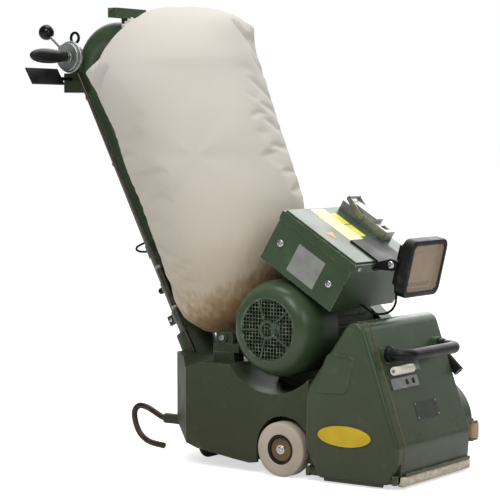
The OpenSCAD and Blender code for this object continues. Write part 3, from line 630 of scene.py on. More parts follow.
def built(name, shape, where):
    """An object made from a shape."""
    mesh = bpy.data.meshes.new(name)
    mesh.from_pydata([where @ p for p in shape.points], [], shape.faces)
    return linked(name, mesh)


def creased(obj, sharp):
    """Smooth shading, with edges over sharp degrees kept crisp and large faces kept flat."""

    def shaded(bm):
        for face in bm.faces:
            face.smooth = True
        for edge in bm.edges:
            edge.smooth = len(edge.link_faces) != 2 or edge.calc_face_angle(0) < radians(sharp)

    edited(obj.data, shaded)
    obj.modifiers.new("normals", "WEIGHTED_NORMAL").keep_sharp = True


def part(name, shape, material, body="root", where=WORLD, stands_for=None, sharp=35):
    """Makes a piece from a shape: in place, shaded, painted and riding on its body."""
    obj = built(name, shape, where)
    edited(obj.data, faced_out)
    obj.data.materials.append(material)
    creased(obj, sharp)
    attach(obj, body)
    if stands_for:
        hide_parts(stands_for)
    return obj


def screw_shape(shape, where, r, h, cross=True, sides=32):
    """A domed head at the frame's origin, with a cross slot or a hexagon socket in its top."""

    def socket(k):
        a = 2 * pi * k / sides
        if cross:
            near = (a + pi / 4) % (pi / 2) - pi / 4
            return min(0.62 * r, 0.13 * r / max(abs(sin(near)), 1e-3))
        return 0.5 * r * cos(pi / 6) / cos((a % (pi / 3)) - pi / 6)

    rings = []
    for reach, up in ((1, 0), (1, 0.35), (0.96, 0.62), (0.84, 0.84), (0.68, 1)):
        rings.append(round_ring(lambda k: reach * r, up * h, sides))
    for up in (1, 0.45):
        rings.append(round_ring(socket, up * h, sides))
    return shape.rings(rings, where)


def softened(name, material, width, sharp=32):
    """A CAD node's copy with clean faces and rounded edges, which stands for the node."""
    node = NODES[name]
    mesh = node.data.copy()
    mesh.name = name + "_skin"
    mesh.materials.clear()
    mesh.materials.append(material)
    rim = width * MM

    def rounded(bm):
        bmesh.ops.remove_doubles(bm, verts=bm.verts, dist=2e-5)
        bmesh.ops.dissolve_limit(
            bm, angle_limit=radians(0.6), use_dissolve_boundaries=False, verts=bm.verts, edges=bm.edges
        )
        folds = [e for e in bm.edges if len(e.link_faces) == 2 and e.calc_face_angle(0) > radians(sharp)]
        folds = [e for e in folds if e.calc_length() > rim]
        if folds:
            bmesh.ops.bevel(
                bm, geom=folds, offset=rim, segments=2, profile=0.6, affect="EDGES", clamp_overlap=True
            )
        bmesh.ops.triangulate(bm, faces=[f for f in bm.faces if len(f.verts) > 4])
        for layer in ("custom_normal", "sharp_face"):
            if layer in mesh.attributes:
                mesh.attributes.remove(mesh.attributes[layer])

    edited(mesh, rounded)
    for polygon in mesh.polygons:
        polygon.material_index = 0
    obj = linked(name + "_skin", mesh)
    creased(obj, sharp)
    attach(obj, node["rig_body"])
    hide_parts(name)
    return obj


# ---- CAD nodes that keep their shape

CARRIED = {
    "main_body": (CAST_GREEN, 1.6),
    "drum_housing": (GREEN, 1.6),
    "belt_guard": (GREEN, 1.2),
    "motor_frame": (CAST_GREEN, 0.8),
    "control_box": (GREEN, 1.0),
    "box_lid": (GREEN, 1.4),
    "handle_block": (DARK_GREEN, 1.5),
    "bag_bracket": (GREEN, 0.6),
    "fan_housing": (ALUMINIUM, 0.8),
    "power_connector": (ALUMINIUM, 1.2),
    "connector_lever": (STEEL, 0.5),
    "lamp_bracket": (LAMP_BLACK, 0.6, "black_steel"),
    "hand_plate": (BLACK_PLASTIC, 1.4),
    "notch_plate": (STEEL, 0.5),
    "tension_lever": (STEEL, 0.8),
    "belt_lever": (BLACK_PLASTIC, 3.0),
    "rear_fork": (BLACK_STEEL, 0.8),
    "rear_roller": (BLACK_RUBBER, 1.2),
    "wall_roller": (ROLLER_PLASTIC, 1.2),
    "switch_knob": (BLACK_PLASTIC, 1.0),
    "pull_rod": (WIRE, 0.5),
    "handle_bar": (CHROME, 0.6),
    "wheel_axle": (STEEL, 0.8),
    "hinge_pins": (STEEL, 0.5),
    "door_seal": (BROWN_SEAL, 0.3),
    "sanding_drum": (ALUMINIUM, 0.8),
    "tension_yoke": (STEEL, 0.8),
    "motor_pulley": (ALUMINIUM, 0.5),
    "cooling_fan": (FAN_PLASTIC, 0.4),
    "dust_fan": (ALUMINIUM, 0.4),
}
for carried_name, (carried_finish, rounding, *own_slot) in CARRIED.items():
    carried = softened(carried_name, carried_finish, rounding)

PLAIN = {
    "stator": STEEL,
    "ball_bearings": STEEL,
    "capacitors": GREY_PLASTIC,
    "v_belts": BLACK_RUBBER,
    "rotor": STEEL,
    "drum_rubber": BLACK_RUBBER,
    "tension_roller": ALUMINIUM,
    "abrasive_belt": ABRASIVE,
}
for plain_name, plain_finish in PLAIN.items():
    NODES[plain_name].data.materials.clear()
    NODES[plain_name].data.materials.append(plain_finish)

# ---- side door


def side_door():
    """The cast cover of the drum housing: a rim, a domed face, a raised pad and hinge knuckles."""
    rim = Shape()
    rings = []
    for x, by in ((-135, -7), (-135, -1), (-134.2, -0.2), (-129, 0), (DOOR_BACK, -0.8), (DOOR_BACK, -7)):
        rings.append([(x, y, z) for y, z in wrapped(HOUSING, by, 5)])
    rim.rings(rings)
    part("side_door_rim", rim, GREEN, "door")
    face = Shape()
    edge = DOOR_EDGE - DOOR_FACE
    rings = [[(-129, y, z) for y, z in wrapped(DOOR, -6, 5)]]
    rings.append([(-129, y, z) for y, z in wrapped(DOOR, -0.5, 5)])
    for a in quarter(8):
        outline = wrapped(DOOR, -0.5 - 8.5 * (1 - cos(a)), 5)
        rings.append([(DOOR_EDGE - edge * sin(a), y, z) for y, z in outline])
    face.rings(rings)
    part("side_door_face", face, GREEN, "door", stands_for="side_door")
    pad = Shape()
    soft_pad = rounded_outline([(-116, 254), (-174, 251), (-158, 183), (-87, 180)], 12)
    rings = []
    for out, up in ((4.5, -0.5), (3.8, 0.4), (2.8, 2.2), (1.4, 3.4), (-0.6, 3.9), (-6, 3.9)):
        rings.append([(DOOR_FACE - up, y, z) for y, z in grown_outline(soft_pad, out)])
    pad.rings(rings)
    part("door_pad", pad, GREEN, "door")
    knuckles = Shape()
    for y0, y1 in ((-259, -237), (-91, -69)):
        where = moved(-140, y0, 19) @ turned(-90)
        knuckles.lathe(collar(4, 8.5, y1 - y0, 0.8, 0.8), where, 32, True)
    knuckles.box((-150, -238, 3), (-144, -102, 26), 2)
    knuckles.box((-154.6, -240, 24), (-146, -98, 28), 1.6)
    part("door_knuckles", knuckles, GREEN, "door")


def rounded_outline(corners, r, steps=6):
    """A straight-sided outline with its corners rounded."""
    out = []
    n = len(corners)
    for i in range(n):
        p, q, s = Vector(corners[i - 1]), Vector(corners[i]), Vector(corners[(i + 1) % n])
        a, b = (p - q).normalized(), (s - q).normalized()
        for k in range(steps + 1):
            t = k / steps
            out.append(tuple((1 - t) ** 2 * (q + a * r) + 2 * t * (1 - t) * q + t * t * (q + b * r)))
    return out


def grown_outline(outline, by):
    centre = sum((Vector(p) for p in outline), Vector((0, 0))) / len(outline)
    return [tuple(Vector(p) + (Vector(p) - centre).normalized() * by) for p in outline]


def oval_badge():
    """The blank oval sticker on the door, with a dark rim."""
    lying = leftward(DOOR_FACE, -153, 96) @ turned(-90, "Z")
    rim = Shape().slab(ellipse(0, 0, 65.5, 24.5, 64), -0.2, 0.35, 0, lying)
    part("oval_rim", rim, OVAL_RIM, "door")
    face = Shape().slab(ellipse(0, 0, 61, 20.5, 64), 0.2, 0.6, 0, lying)
    part("oval_face", face, OVAL_LABEL, "door")


side_door()
oval_badge()

# ---- motor cowl


def fan_cowl():
    """The pressed cowl over the motor's fan: a domed shell with a rolled rim."""
    outer = [(GRILLE_R + (COWL_R - GRILLE_R) * sin(a), 155 - 60 * (1 - cos(a))) for a in quarter(24)]
    inner = [(GRILLE_R + (COWL_R - 3 - GRILLE_R) * sin(a), 152 - 57 * (1 - cos(a))) for a in quarter(24)]
    inner.reverse()
    rolled = [(COWL_R, 46), (COWL_R - 0.8, 44.2), (COWL_R - 2.2, 44.2), (COWL_R - 3, 46)]
    lip = [(GRILLE_R - 0.8, 153.5)]
    shell = Shape().lathe(outer + rolled + inner + lip, sides=96, closed=True)
    part("fan_cowl_shell", shell, GREEN, "root", COWL, "fan_cowl")
    tabs = Shape()
    for a in (45, 135, 225, 315):
        tabs.box((79.5, -6, 46), (98, 6, 60), 1.0, turned(a, "Z"))
        screw_shape(tabs, turned(a, "Z") @ moved(98.6, 0, 53) @ FACING_X, 4.5, 0.9)
    part("cowl_tabs", tabs, GREEN, "root", COWL)


def grille():
    """Square wire mesh behind a five-spoked guard."""
    wires = Shape()
    pitch, thick = 7.4, 0.95
    for i in range(-8, 9):
        reach = sqrt(max(0.0, (GRILLE_R + 0.5) ** 2 - (i * pitch) ** 2))
        if reach < 6:
            continue
        wires.bar([(i * pitch, -reach, 151.3), (i * pitch, reach, 151.3)], thick, 8)
        wires.bar([(-reach, i * pitch, 152.4), (reach, i * pitch, 152.4)], thick, 8, start_side=(0, 1, 0))
    part("grille_mesh", wires, GREEN, "root", COWL)
    guard = Shape()
    rim = [(-3, 150), (1.5, 150), (1.5, 154.4), (0, 155.3), (-2, 155.0), (-3, 153.6)]
    guard.lathe([(GRILLE_R + out, h) for out, h in rim], sides=96, closed=True)
    middle = [(13, 151), (19, 151), (20, 152.5), (19, 155.2), (16, 156), (14, 155.4), (13, 153)]
    guard.lathe(middle, closed=True)
    for k in range(5):
        spoke = turned(20 + 72 * k, "Z")
        guard.box((18, -1.9, 151.5), (GRILLE_R - 1, 1.9, 155.6), 1.0, spoke)
    part("grille_guard", guard, GREEN, "root", COWL)


fan_cowl()
grille()

# ---- switch box


def box_labels():
    """Blank labels on the lid, in the places and colours of the real ones."""
    lid = BOX @ moved(0, 0, LID_TOP)
    pale = Shape().slab(soft_box(-50, -125, 1, -8, 1.5), -0.2, 0.3)
    part("lid_label_pale", pale, PALE_LABEL, "root", lid)
    bright = Shape()
    bright.slab(soft_box(1.4, -66, 24, -26, 1.5), -0.2, 0.35)
    bright.slab(soft_box(1.4, -112, 24, -69, 1.5), -0.2, 0.35)
    part("lid_label_bright", bright, BRIGHT_LABEL, "root", lid)
    mark = Shape().slab([(-102, -90), (-90, -114), (-74, -90)], -0.2, 0.35)
    part("lid_label_mark", mark, MARK_LABEL, "root", lid)
    side = BOX @ leftward(BOX_X[0], 0, 0)
    # on the near end: local x is the box's height and local y runs down the slope
    plate = Shape().slab(soft_box(14, -138, 76, -66, 2), -0.2, 0.8, 0.3)
    part("near_plate", plate, GREY_LABEL, "root", side)


def box_screws():
    heads = Shape()
    for y, z in ((-28, 52), (-165, 46)):
        screw_shape(heads, leftward(BOX_X[0], y, z), 8, 5)
    for x in (-112, 106):
        screw_shape(heads, moved(x, -BOX_LEN - 4, BOX_H + 9) @ FACING_FRONT, 5, 3)
    part("box_screws", heads, CHROME, "root", BOX, "fasteners")
    others = Shape()
    for s in (-1, 1):
        x = LAMP_X[0] - 6.8 if s < 0 else LAMP_X[1] + 6.8
        facing = FACING_X if s > 0 else FACING_BACK_X
        screw_shape(others, moved(x, *LAMP_P) @ facing, 8, 5.5, cross=False)
        others.lathe([(3, -12), (3, 1)], moved(x, *LAMP_P) @ facing, 24)
    for y, z in ((-172, 97), (-70, 196), (30, 295), (205, 142)):
        screw_shape(others, moved(184, y, z) @ FACING_X, 5, 3.4)
    others.lathe([(4, 206), (4, 254), (8, 254), (8, 259.2), (7, 260), (0.5, 260)], moved(-80, 182, 0), 6)
    part("machine_screws", others, CHROME)
    lug = Shape()
    lug.box((-97, 156, 248), (-86, 200, 278), 4)
    lug.box((-75, 156, 248), (-64, 200, 278), 4)
    lug.lathe([(4, 0), (10, 0), (11, 1), (11, 7), (4, 7)], leftward(-96, 178, 266), 32, True)
    part("clamp_lug", lug, CAST_GREEN)
    eye_bolt = screw_shape(Shape(), leftward(-103, 178, 266), 7, 4, cross=False)
    eye_bolt.lathe([(3.8, -38), (3.8, 1)], leftward(-103, 178, 266), 20)
    part("clamp_bolt", eye_bolt, STEEL)


box_labels()
box_screws()

# ---- worklight


def worklight():
    """The lamp: finned case with a rounded bezel, a lamp board and a clear pane."""
    x0, x1 = LAMP_X
    outer = soft_box(x0, -61, x1, 57, 19, 8)
    case = Shape()
    # drawn in (x, z) with depth along -Y
    lying = FACING_FRONT
    depth_rings = [(10.0, 4.0), (12.0, 1.2), (14.0, 0.0), (31.0, 0.0), (34.5, 1.2), (36.0, 4.0)]
    rings = [[(x, y, h) for x, y in inset(outer, by)] for h, by in depth_rings]
    opening = soft_box(x0 + 10, -51, x1 - 10, 47, 12, 8)
    rings.append([(x, y, 36.0) for x, y in opening])
    rings.append([(x, y, 34.0) for x, y in inset(opening, 1.0)])
    rings.append([(x, y, 19.5) for x, y in inset(opening, 1.0)])
    case.rings(rings, lying)
    back = soft_box(x0 + 16, -46, x1 - 16, 42, 8, 5)
    case.slab(back, 0.2, 10.5, 0, lying)
    for i in range(9):
        x = x0 + 20 + i * 12
        case.box((x, -1, -42), (x + 4, 5.8, 38), 0.8)
    case.lathe(collar(3.2, 9, x1 - x0 + 5, 0.6, 0.8), moved(x0 - 2.5, 0, 0) @ FACING_X, 32, True)
    case.box((x0, -12, -9), (x1, 0, 9), 1.0)
    case.lathe([(3, -64), (3.9, -64), (4.5, -63), (4.5, -54), (6.5, -53), (6.5, -44)], moved(-20, -5, 0), 32)
    part("lamp_case", case, LAMP_BLACK, "lamp", LAMP, "lamp_housing")
    board = Shape().slab(soft_box(x0 + 14, -47, x1 - 14, 43, 5), 19.8, 21.4, 0, lying)
    part("lamp_reflector_tray", board, LAMP_REFLECTOR, "lamp", LAMP)
    chip = Shape()
    chip.slab(soft_box(x0 + 40, -16, x1 - 40, 28, 4), 21.3, 23.4, 0.6, lying)
    for x in (x0 + 28, x1 - 28):
        screw_shape(chip, lying @ moved(x, 6, 21.3), 3, 1.5)
    part("lamp_chip_board", chip, LAMP_BOARD, "lamp", LAMP)
    strip = Shape().slab(soft_box(x0 + 18, -42, x1 - 26, -34, 1.5), 21.3, 22.2, 0, lying)
    part("lamp_terminal_strip", strip, DARK_LABEL, "lamp", LAMP)
    pane = Shape().slab(soft_box(x0 + 10.3, -50.7, x1 - 10.3, 46.7, 8), 31.2, 33.8, 0.5, lying)
    part("lamp_pane", pane, LENS, "lamp", LAMP, "lamp_lens")


LAMP_LEAD = [
    (-20, -191.3, 374), (-20, -189.8, 358), (-20, -188, 348), (-20, -180, 336), (-20, -166, 328.5),
    (-20, -150, 326), (-20, -136, 328), (-20, -124, 334), (-20, -107.8, 343.1),
]


def lamp_lead():
    """The short lead from the lamp back to the body."""
    obj = built("lamp_lead", Shape().bar(smooth(LAMP_LEAD, 6), 2.5, 14), WORLD)
    obj.data.materials.append(BLACK_RUBBER)
    creased(obj, 40)
    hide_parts("lamp_cable")
    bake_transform(obj)


worklight()
lamp_lead()

# ---- wheels


def wheel(side, where, body):
    """A solid tyre with a rounded tread, on a black hub with a bronze cap and a screw."""
    w, r = WHEEL_W, WHEEL_R
    tread = [(30.5, 1.5), (33, 0.2), (46, 0), (51.5, 0.8), (54.3, 2.6), (r, 6)]
    tread += [(r, w - 6), (54.3, w - 2.6), (51.5, w - 0.8), (46, w), (33, w - 0.2), (30.5, w - 1.5)]
    tyre = Shape().lathe(tread, sides=96, closed=True)
    part(side + "_tyre_ring", tyre, GREY_RUBBER, body, where, side + "_tyre")
    hub = [(10.1, 8), (23.4, 8), (24, 7.4), (24.2, 3.0), (24.8, 2.2), (29.4, 2.0), (30.5, 2.8)]
    hub += [(30.5, w - 2.8), (29.4, w - 2), (10.1, w - 2)]
    ring = Shape().lathe(hub, sides=72, closed=True)
    part(side + "_hub_ring", ring, BLACK_PLASTIC, body, where, side + "_hub")
    cap = Shape().lathe([(23.9, 5.2), (23.6, 4.6), (21, 4.0), (12, 3.8), (11, 4.2), (0.5, 4.2)], sides=64)
    part(side + "_hub_cap", cap, BRONZE, body, where)
    bolt = Shape()
    bolt.lathe([(9.6, 4.4), (9.6, 3.0), (9.2, 2.6), (0.5, 2.6)], sides=40)
    screw_shape(bolt, moved(0, 0, 2.7) @ turned(180), 6.5, 2.6)
    part(side + "_hub_screw", bolt, CHROME, body, where)


wheel("near", NEAR_WHEEL, "near_wheel")
wheel("far", FAR_WHEEL, "far_wheel")

# ---- guide tube and what hangs on it


def guide_tube():
    """One painted tube: straight, bent over at the top and open at the bag's mouth."""
    route = []
    for k in range(13):
        s = -86 + (STRAIGHT + 86) * k / 12
        route.append((0, TUBE_P[0] + s * sin(LEAN), TUBE_P[1] + s * cos(LEAN)))
    bend = MOUTH_A + TUBE_LEAN
    for k in range(1, 31):
        a = radians(-TUBE_LEAN + bend * k / 30)
        route.append((0, BEND_C[0] + BEND_R * cos(a), BEND_C[1] + BEND_R * sin(a)))
    for s in (20, 45, 65):
        route.append((0, MOUTH_P[0] - s * sin(MOUTH_END), MOUTH_P[1] + s * cos(MOUTH_END)))
    outer = Shape().bar(route, TUBE_R, 64)
    part("guide_tube_skin", outer, GREEN, "root", WORLD, "guide_tube", sharp=50)
    bands = Shape()
    for s in (-14, 395, 560):
        bands.lathe(collar(TUBE_R - 1, TUBE_R + 2, 5, 0.6, 0.8), moved(0, 0, s), 64, True)
    part("tube_bands", bands, GREEN, "root", TUBE)


HOOK_ROUTE = [(455, 452), (470, 446), (483, 440), (486, 434), (480, 430), (466, 429), (446, 431)]


def tube_clamp(shape, s, width, thick):
    """A clamp band round the tube, from s up to s + width."""
    r = TUBE_R
    band = collar(r - 0.5, r + thick, width, 0.6, 0.6)
    band[0], band[-1] = (r - 0.5, 0.3), (r - 0.5, width - 0.3)
    shape.lathe(band, moved(0, 0, s), 64, True)


def cable_hook():
    """The wire cable hook, the lug and the clamp knob along the tube."""
    bands = Shape()
    tube_clamp(bands, 170, 28, 2.0)
    tube_clamp(bands, 18, 22, 2.0)
    tube_clamp(bands, 89, 18, 1.5)
    bands.box((-5, TUBE_R - 2, 18), (5, TUBE_R + 22, 40), 2.2)
    part("tube_clamps", bands, DARK_GREEN, "root", TUBE, "cable_hook")
    knob = Shape()
    where = moved(0, 0, 98) @ turned(-90)
    profile = [(4, -2), (4, 6), (6.5, 6.4), (7, 8), (7, 14), (6, 16), (0.5, 16)]
    knob.lathe([(r, TUBE_R + h) for r, h in profile], where, 10)
    part("clamp_knob", knob, BLACK_PLASTIC, "root", TUBE)
    wire = Shape().bar(smooth([(0, y, z) for y, z in HOOK_ROUTE], 8), 2.5, 12)
    part("hook_wire", wire, BLACK_STEEL)
    pin = Shape()
    screw_shape(pin, leftward(-5, TUBE_R + 13, 29), 4.6, 3)
    part("lug_screw", pin, CHROME, "root", TUBE)


def tilt_hook():
    route = [(383.3, 72), (394, 74), (412, 82), (434, 91), (456, 93)]
    route += [(469, 80), (467, 56), (453, 31), (427, 16), (388, 11)]
    bent = Shape().bar(smooth([(-30, y, z) for y, z in route], 10), 6.5, 24)
    part("tilt_hook_bar", bent, WIRE, "root", WORLD, "tilt_hook")


guide_tube()
cable_hook()
tilt_hook()

# ---- guide bar


def egg_radius(t):
    if t < 0.5:
        return 9 + 7 * sin(pi * t)
    return 16 * sqrt(max(1 - (2 * t - 1) ** 2.8, 0.0))


def side_grips():
    """Two black egg-shaped grips with a collar at the bar."""
    grips = Shape()
    for s in (-1, 1):
        where = moved(s * 66, *HUB_P) @ (FACING_X if s > 0 else FACING_BACK_X)
        profile = [(7.2, 0), (9.6, 0), (10.2, 0.8), (10.2, 4.4), (9.4, 5.2)]
        for k in range(2, 41):
            t = k / 40
            profile.append((max(egg_radius(t), 0.4), 114 * t))
        grips.lathe(profile, where, 48)
    part("bar_grips", grips, BLACK_PLASTIC, "root", WORLD, "side_grips", sharp=50)


LEVER_ROUTE = [(-55, 651, 877), (-56, 662, 887), (-58, 675, 899), (-60, 686, 909)]


def lift_lever():
    """Two plates on the hub, with knobs, and a bent rod that ends in a ball."""
    lever = Shape()
    lever.lathe(collar(7.1, 35, 8, 1.4, 1.4), leftward(-46, *HUB_P), 72, True)
    cover = [(7.1, 8), (30.2, 8), (31, 8.8), (31, 14.6), (29.6, 16)]
    cover += [(24, 16), (22.8, 15.2), (13, 15.2), (12, 16), (7.1, 16)]
    lever.lathe(cover, leftward(-46, *HUB_P), 72, True)
    part("lever_plates", lever, ALUMINIUM, "lifter", WORLD, "lift_lever")
    rod = Shape().bar(smooth(LEVER_ROUTE, 8), 4, 20)
    rod.lathe([(4.2, 0), (6.4, 0), (6.4, 6), (4.2, 7)], moved(-55, 651, 877) @ turned(-44), 6, True)
    crank = moved(0, HUB_P[0] + CRANK[0], HUB_P[1] + CRANK[1])
    rod.bar([(-46.5, 0, 0), (-36, 0, 0)], 3, 20, crank, (0, 1, 0))
    part("lever_rod", rod, STEEL, "lifter", WORLD)
    ball = [(0.4, -17.5 + 0.01)]
    for k in range(1, 32):
        a = radians(-90 + 180 * k / 32)
        ball.append((17.5 * cos(a), 17.5 * sin(a)))
    ball.append((0.4, 17.5 - 0.01))
    knob = Shape().lathe(ball, moved(-60, 691, 914))
    part("lever_ball", knob, BALL_PLASTIC, "lifter", WORLD, "ball_knob", sharp=60)
    knobs = Shape()
    where = leftward(-60, 640.6, 858)
    knobs.lathe([(10, 0), (10, 1.6), (9.2, 2.0), (0.5, 2.0)], where, 40)
    screw_shape(knobs, where @ moved(0, 0, 1.8), 5.2, 1.8)
    part("lever_knobs", knobs, BLACK_PLASTIC, "lifter", WORLD)


ROD_D = (Vector((624, 834)) - Vector((298, 221.8))).normalized()
ROD_LEAN = atan2(ROD_D[0], ROD_D[1])
CRANK = (10.5 * cos(radians(160) - ROD_LEAN), 10.5 * sin(radians(160) - ROD_LEAN))


def rod_nuts():
    """Lock nuts at the ends of the pull rod's adjuster."""
    foot = Vector((298, 221.8)) - ROD_D * (221.8 - 50) / ROD_D[1]
    along = WORLD @ moved(-40, *foot) @ Matrix.Rotation(-ROD_LEAN, 4, "X")
    start = (Vector((350, 320)) - foot).dot(ROD_D)
    nuts = Shape()
    for s in (start - 7, start + 88):
        nuts.lathe(collar(3.4, 8, 7, 0.8, 0.9), moved(0, 0, s), 6, True)
    part("rod_nuts", nuts, STEEL, "linkage", along)


def cable_eye():
    """The steel eye for the cable, on its post."""
    eye = Shape()
    ring = [(9.0, -2.5), (9.0, 2.5)]
    for k in range(7):
        a = radians(90 - 30 * k)
        ring.append((12.0 + 2.5 * cos(a), 2.5 * sin(a)))
    eye.lathe(ring, moved(-30, 634, 901) @ FACING_X, 56, True)
    eye.lathe([(5.5, 877), (4.6, 886), (4.4, 888.5)], moved(-30, 634, 0), 24)
    part("cable_eye_ring", eye, BLACK_STEEL, "root", WORLD, "cable_ring")


side_grips()
lift_lever()
rod_nuts()
cable_eye()

# ---- housing details


def front_handle():
    """The round bar handle with its end sleeves."""
    bend, y, z, r = 26, -266, 257, 12
    route = [(-104, -209.5, z), (-104, -225, z)]
    for a in quarter(8):
        route.append((-104 + bend * (1 - cos(a)), y + bend * (1 - sin(a)), z))
    for a in quarter(8):
        route.append((100 - bend * (1 - sin(a)), y + bend * (1 - cos(a)), z))
    route += [(100, -225, z), (100, -209.5, z)]
    bar = Shape().bar(route, r, 40, start_side=(0, 0, 1))
    part("front_handle_bar", bar, BLACK_PLASTIC, "root", WORLD, "front_handle", sharp=50)
    sleeve = Shape()
    for x in (-104, 100):
        where = moved(x, -221.8, z) @ FACING_FRONT
        sleeve.lathe([(12.1, 0), (14.2, 0), (15, 0.8), (15, 9), (13.6, 11), (12.1, 11.4)], where, 48, True)
    part("handle_collars", sleeve, BLACK_PLASTIC)


def tension_grip():
    """The pale grip of the tension lever, with a flange and turned grooves."""
    where = on_front(-26, 228) @ moved(-91, -17, -7) @ FACING_X
    profile = [(3.1, 0), (7.6, 0), (8.5, 1)]
    for k in range(8):
        s = 8 + k * 7.4
        profile += [(8.5, s), (8.0, s + 0.6), (8.0, s + 1.2), (8.5, s + 1.8)]
    profile += [(8.5, 69), (7.6, 70), (3.1, 70)]
    sleeve = Shape().lathe(profile, sides=40, closed=True)
    part("tension_grip_sleeve", sleeve, WHITE_PLASTIC, "tensioner", where, "tension_grip")


def felt_strip():
    """The felt strip along the lower front edge, in three sewn lengths with soft edges."""
    strip = Shape()
    joints = [-135.4, -46, 44, 135.4]
    for a, b in zip(joints, joints[1:]):
        count = 24
        rings = []
        for k in range(count + 1):
            x = a + (b - a) * k / count
            end = min(k, count - k)
            pull = 0.7 if end == 0 else 0.0
            sway = noise.noise(Vector((x * 0.05, 0, 3))) * 0.7
            outline = soft_box(-275.2 + pull, 5 + pull, -264, 24.3 - pull, 2.6, 4)
            end_x = x + (0.4 if k == 0 else -0.4 if k == count else 0)
            rings.append([(end_x, y + (sway if y < -270 else 0), z) for y, z in outline])
        strip.rings(rings)
    part("felt_lengths", strip, FELT, "root", WORLD, "felt_strip", sharp=60)
    stitches = Shape()
    for k in range(34):
        x = -131 + k * 7.9
        stitches.box((x, -275.45, 20.2), (x + 4.6, -274.6, 21.0), 0.3)
    part("felt_stitches", stitches, TAPE_CLOTH)


def front_plate():
    """A blank dark plate on the sloping front."""
    where = on_front(0, 142)
    plate = Shape().slab(soft_box(-52, -18, 35, 18, 3), -0.2, 0.7, 0.3, FACING_FRONT)
    part("front_plate", plate, DARK_LABEL, "root", where)
    rivets = Shape()
    for x, z in ((-48, -14), (31, -14), (-48, 14), (31, 14)):
        screw_shape(rivets, FACING_FRONT @ moved(x, z, 0.5), 2.2, 1.2, sides=16)
    part("front_plate_rivets", rivets, ALUMINIUM, "root", where)


front_handle()
tension_grip()
felt_strip()
front_plate()

# ---- dust bag

# The bag hangs turned about the vertical, so its two side seams lie at the rear left and the front right.
BAG_TURN = -54.87
BAG_PLACE = moved(0, 355, 0) @ turned(BAG_TURN, "Z")
BAG_FRAME = WORLD @ BAG_PLACE
# Sections of the full bag: height, reach to the rear and front seams, half thickness
BAG = [
    (951, -40, 58, 22), (940, -82, 98, 60), (925, -103, 126, 92), (905, -127, 141, 118),
    (880, -150, 150, 142), (842, -172, 164, 166), (817, -183, 171, 173), (789, -186, 181, 178),
    (739, -168, 196, 180), (680, -143, 216, 176), (621, -125, 236, 172), (547, -94, 257, 168),
    (482, -70, 260, 162), (440, -54, 247, 152), (373, -30, 217, 126), (335, -18, 196, 106),
    (310, -7, 178, 88), (290, 8, 156, 66), (276, 28, 132, 40), (269, 48, 110, 18),
]
# Corners of the two panels: height, reach beyond the sections, run above and run below
REAR_CORNER = (818, 34, 34, 20)
FRONT_CORNER = (919, 26, 12, 26)


def corner_reach(corner, z):
    height, reach, above, below = corner
    return reach * exp(-(z - height) / above if z > height else (z - height) / below)


def bag_sections(count):
    """The sections resampled along a smooth curve, from the top down."""
    rows = []
    last = len(BAG) - 1
    for k in range(count + 1):
        u = k / count * last
        i = min(int(u), last - 1)
        rows.append([between(*quad, u - i) for quad in zip(*around(BAG, i))])
    return rows


def beside_tube(point):
    """A point of the bag, moved forward where the cloth would pass into the guide tube."""
    x, y, z = BAG_PLACE @ Vector(point)
    middle = TUBE_P[0] + (z - TUBE_P[1]) * tan(LEAN)
    limit = middle - TUBE_R / cos(LEAN) - 5
    if z > 800 or x < -TUBE_R - 6 or y < limit:
        return point
    return BAG_PLACE.inverted() @ Vector((x, limit, z))


def bag_start():
    """The bag before it is simulated: two bulging panels that meet at the seams and end in corners."""
    sides = 120
    rings = []
    for z, rear, front, thick in bag_sections(140):
        middle, half = (rear + front) / 2, (front - rear) / 2
        ring = []
        for k in range(sides):
            t = 2 * pi * k / sides
            near_seam = exp(-((sin(t) / 0.20) ** 2))
            out = corner_reach(FRONT_CORNER if cos(t) > 0 else REAR_CORNER, z)
            s = middle + half * cos(t) + (out if cos(t) > 0 else -out) * near_seam
            ring.append(beside_tube((s, thick * sin(t) * (1 - 0.12 * near_seam) - 0.62 * middle, z)))
        rings.append(ring)
    return Shape().rings(rings)


def applied(obj):
    """The object's mesh with its modifiers applied."""
    graph = bpy.context.evaluated_depsgraph_get()
    mesh = bpy.data.meshes.new_from_object(obj.evaluated_get(graph), depsgraph=graph)
    obj.modifiers.clear()
    old = obj.data
    obj.data = mesh
    bpy.data.meshes.remove(old)
    return obj


def from_neck(point):
    """Distance ahead of the neck's tie, distance off the mouth's middle line and angle round it."""
    local = MOUTH.inverted() @ point
    return local.z - 51, hypot(local.x, local.y), atan2(local.x, local.y)


def seam_side(z):
    """How far off the bag's frame the seams lie at height z."""
    rows = sorted((row[0], (row[1] + row[2]) / 2) for row in BAG)
    z = min(max(z, rows[0][0]), rows[-1][0] - 0.001)
    for (z0, m0), (z1, m1) in zip(rows, rows[1:]):
        if z0 <= z < z1:
            return -0.62 * (m0 + (m1 - m0) * (z - z0) / (z1 - z0))
    return 0.0


def from_seam(point):
    """Distance off the seams and angle round the bag in their plane, from above its middle."""
    local = BAG_FRAME.inverted() @ point
    return local.y - seam_side(local.z), atan2(local.x - 30, local.z - 640)


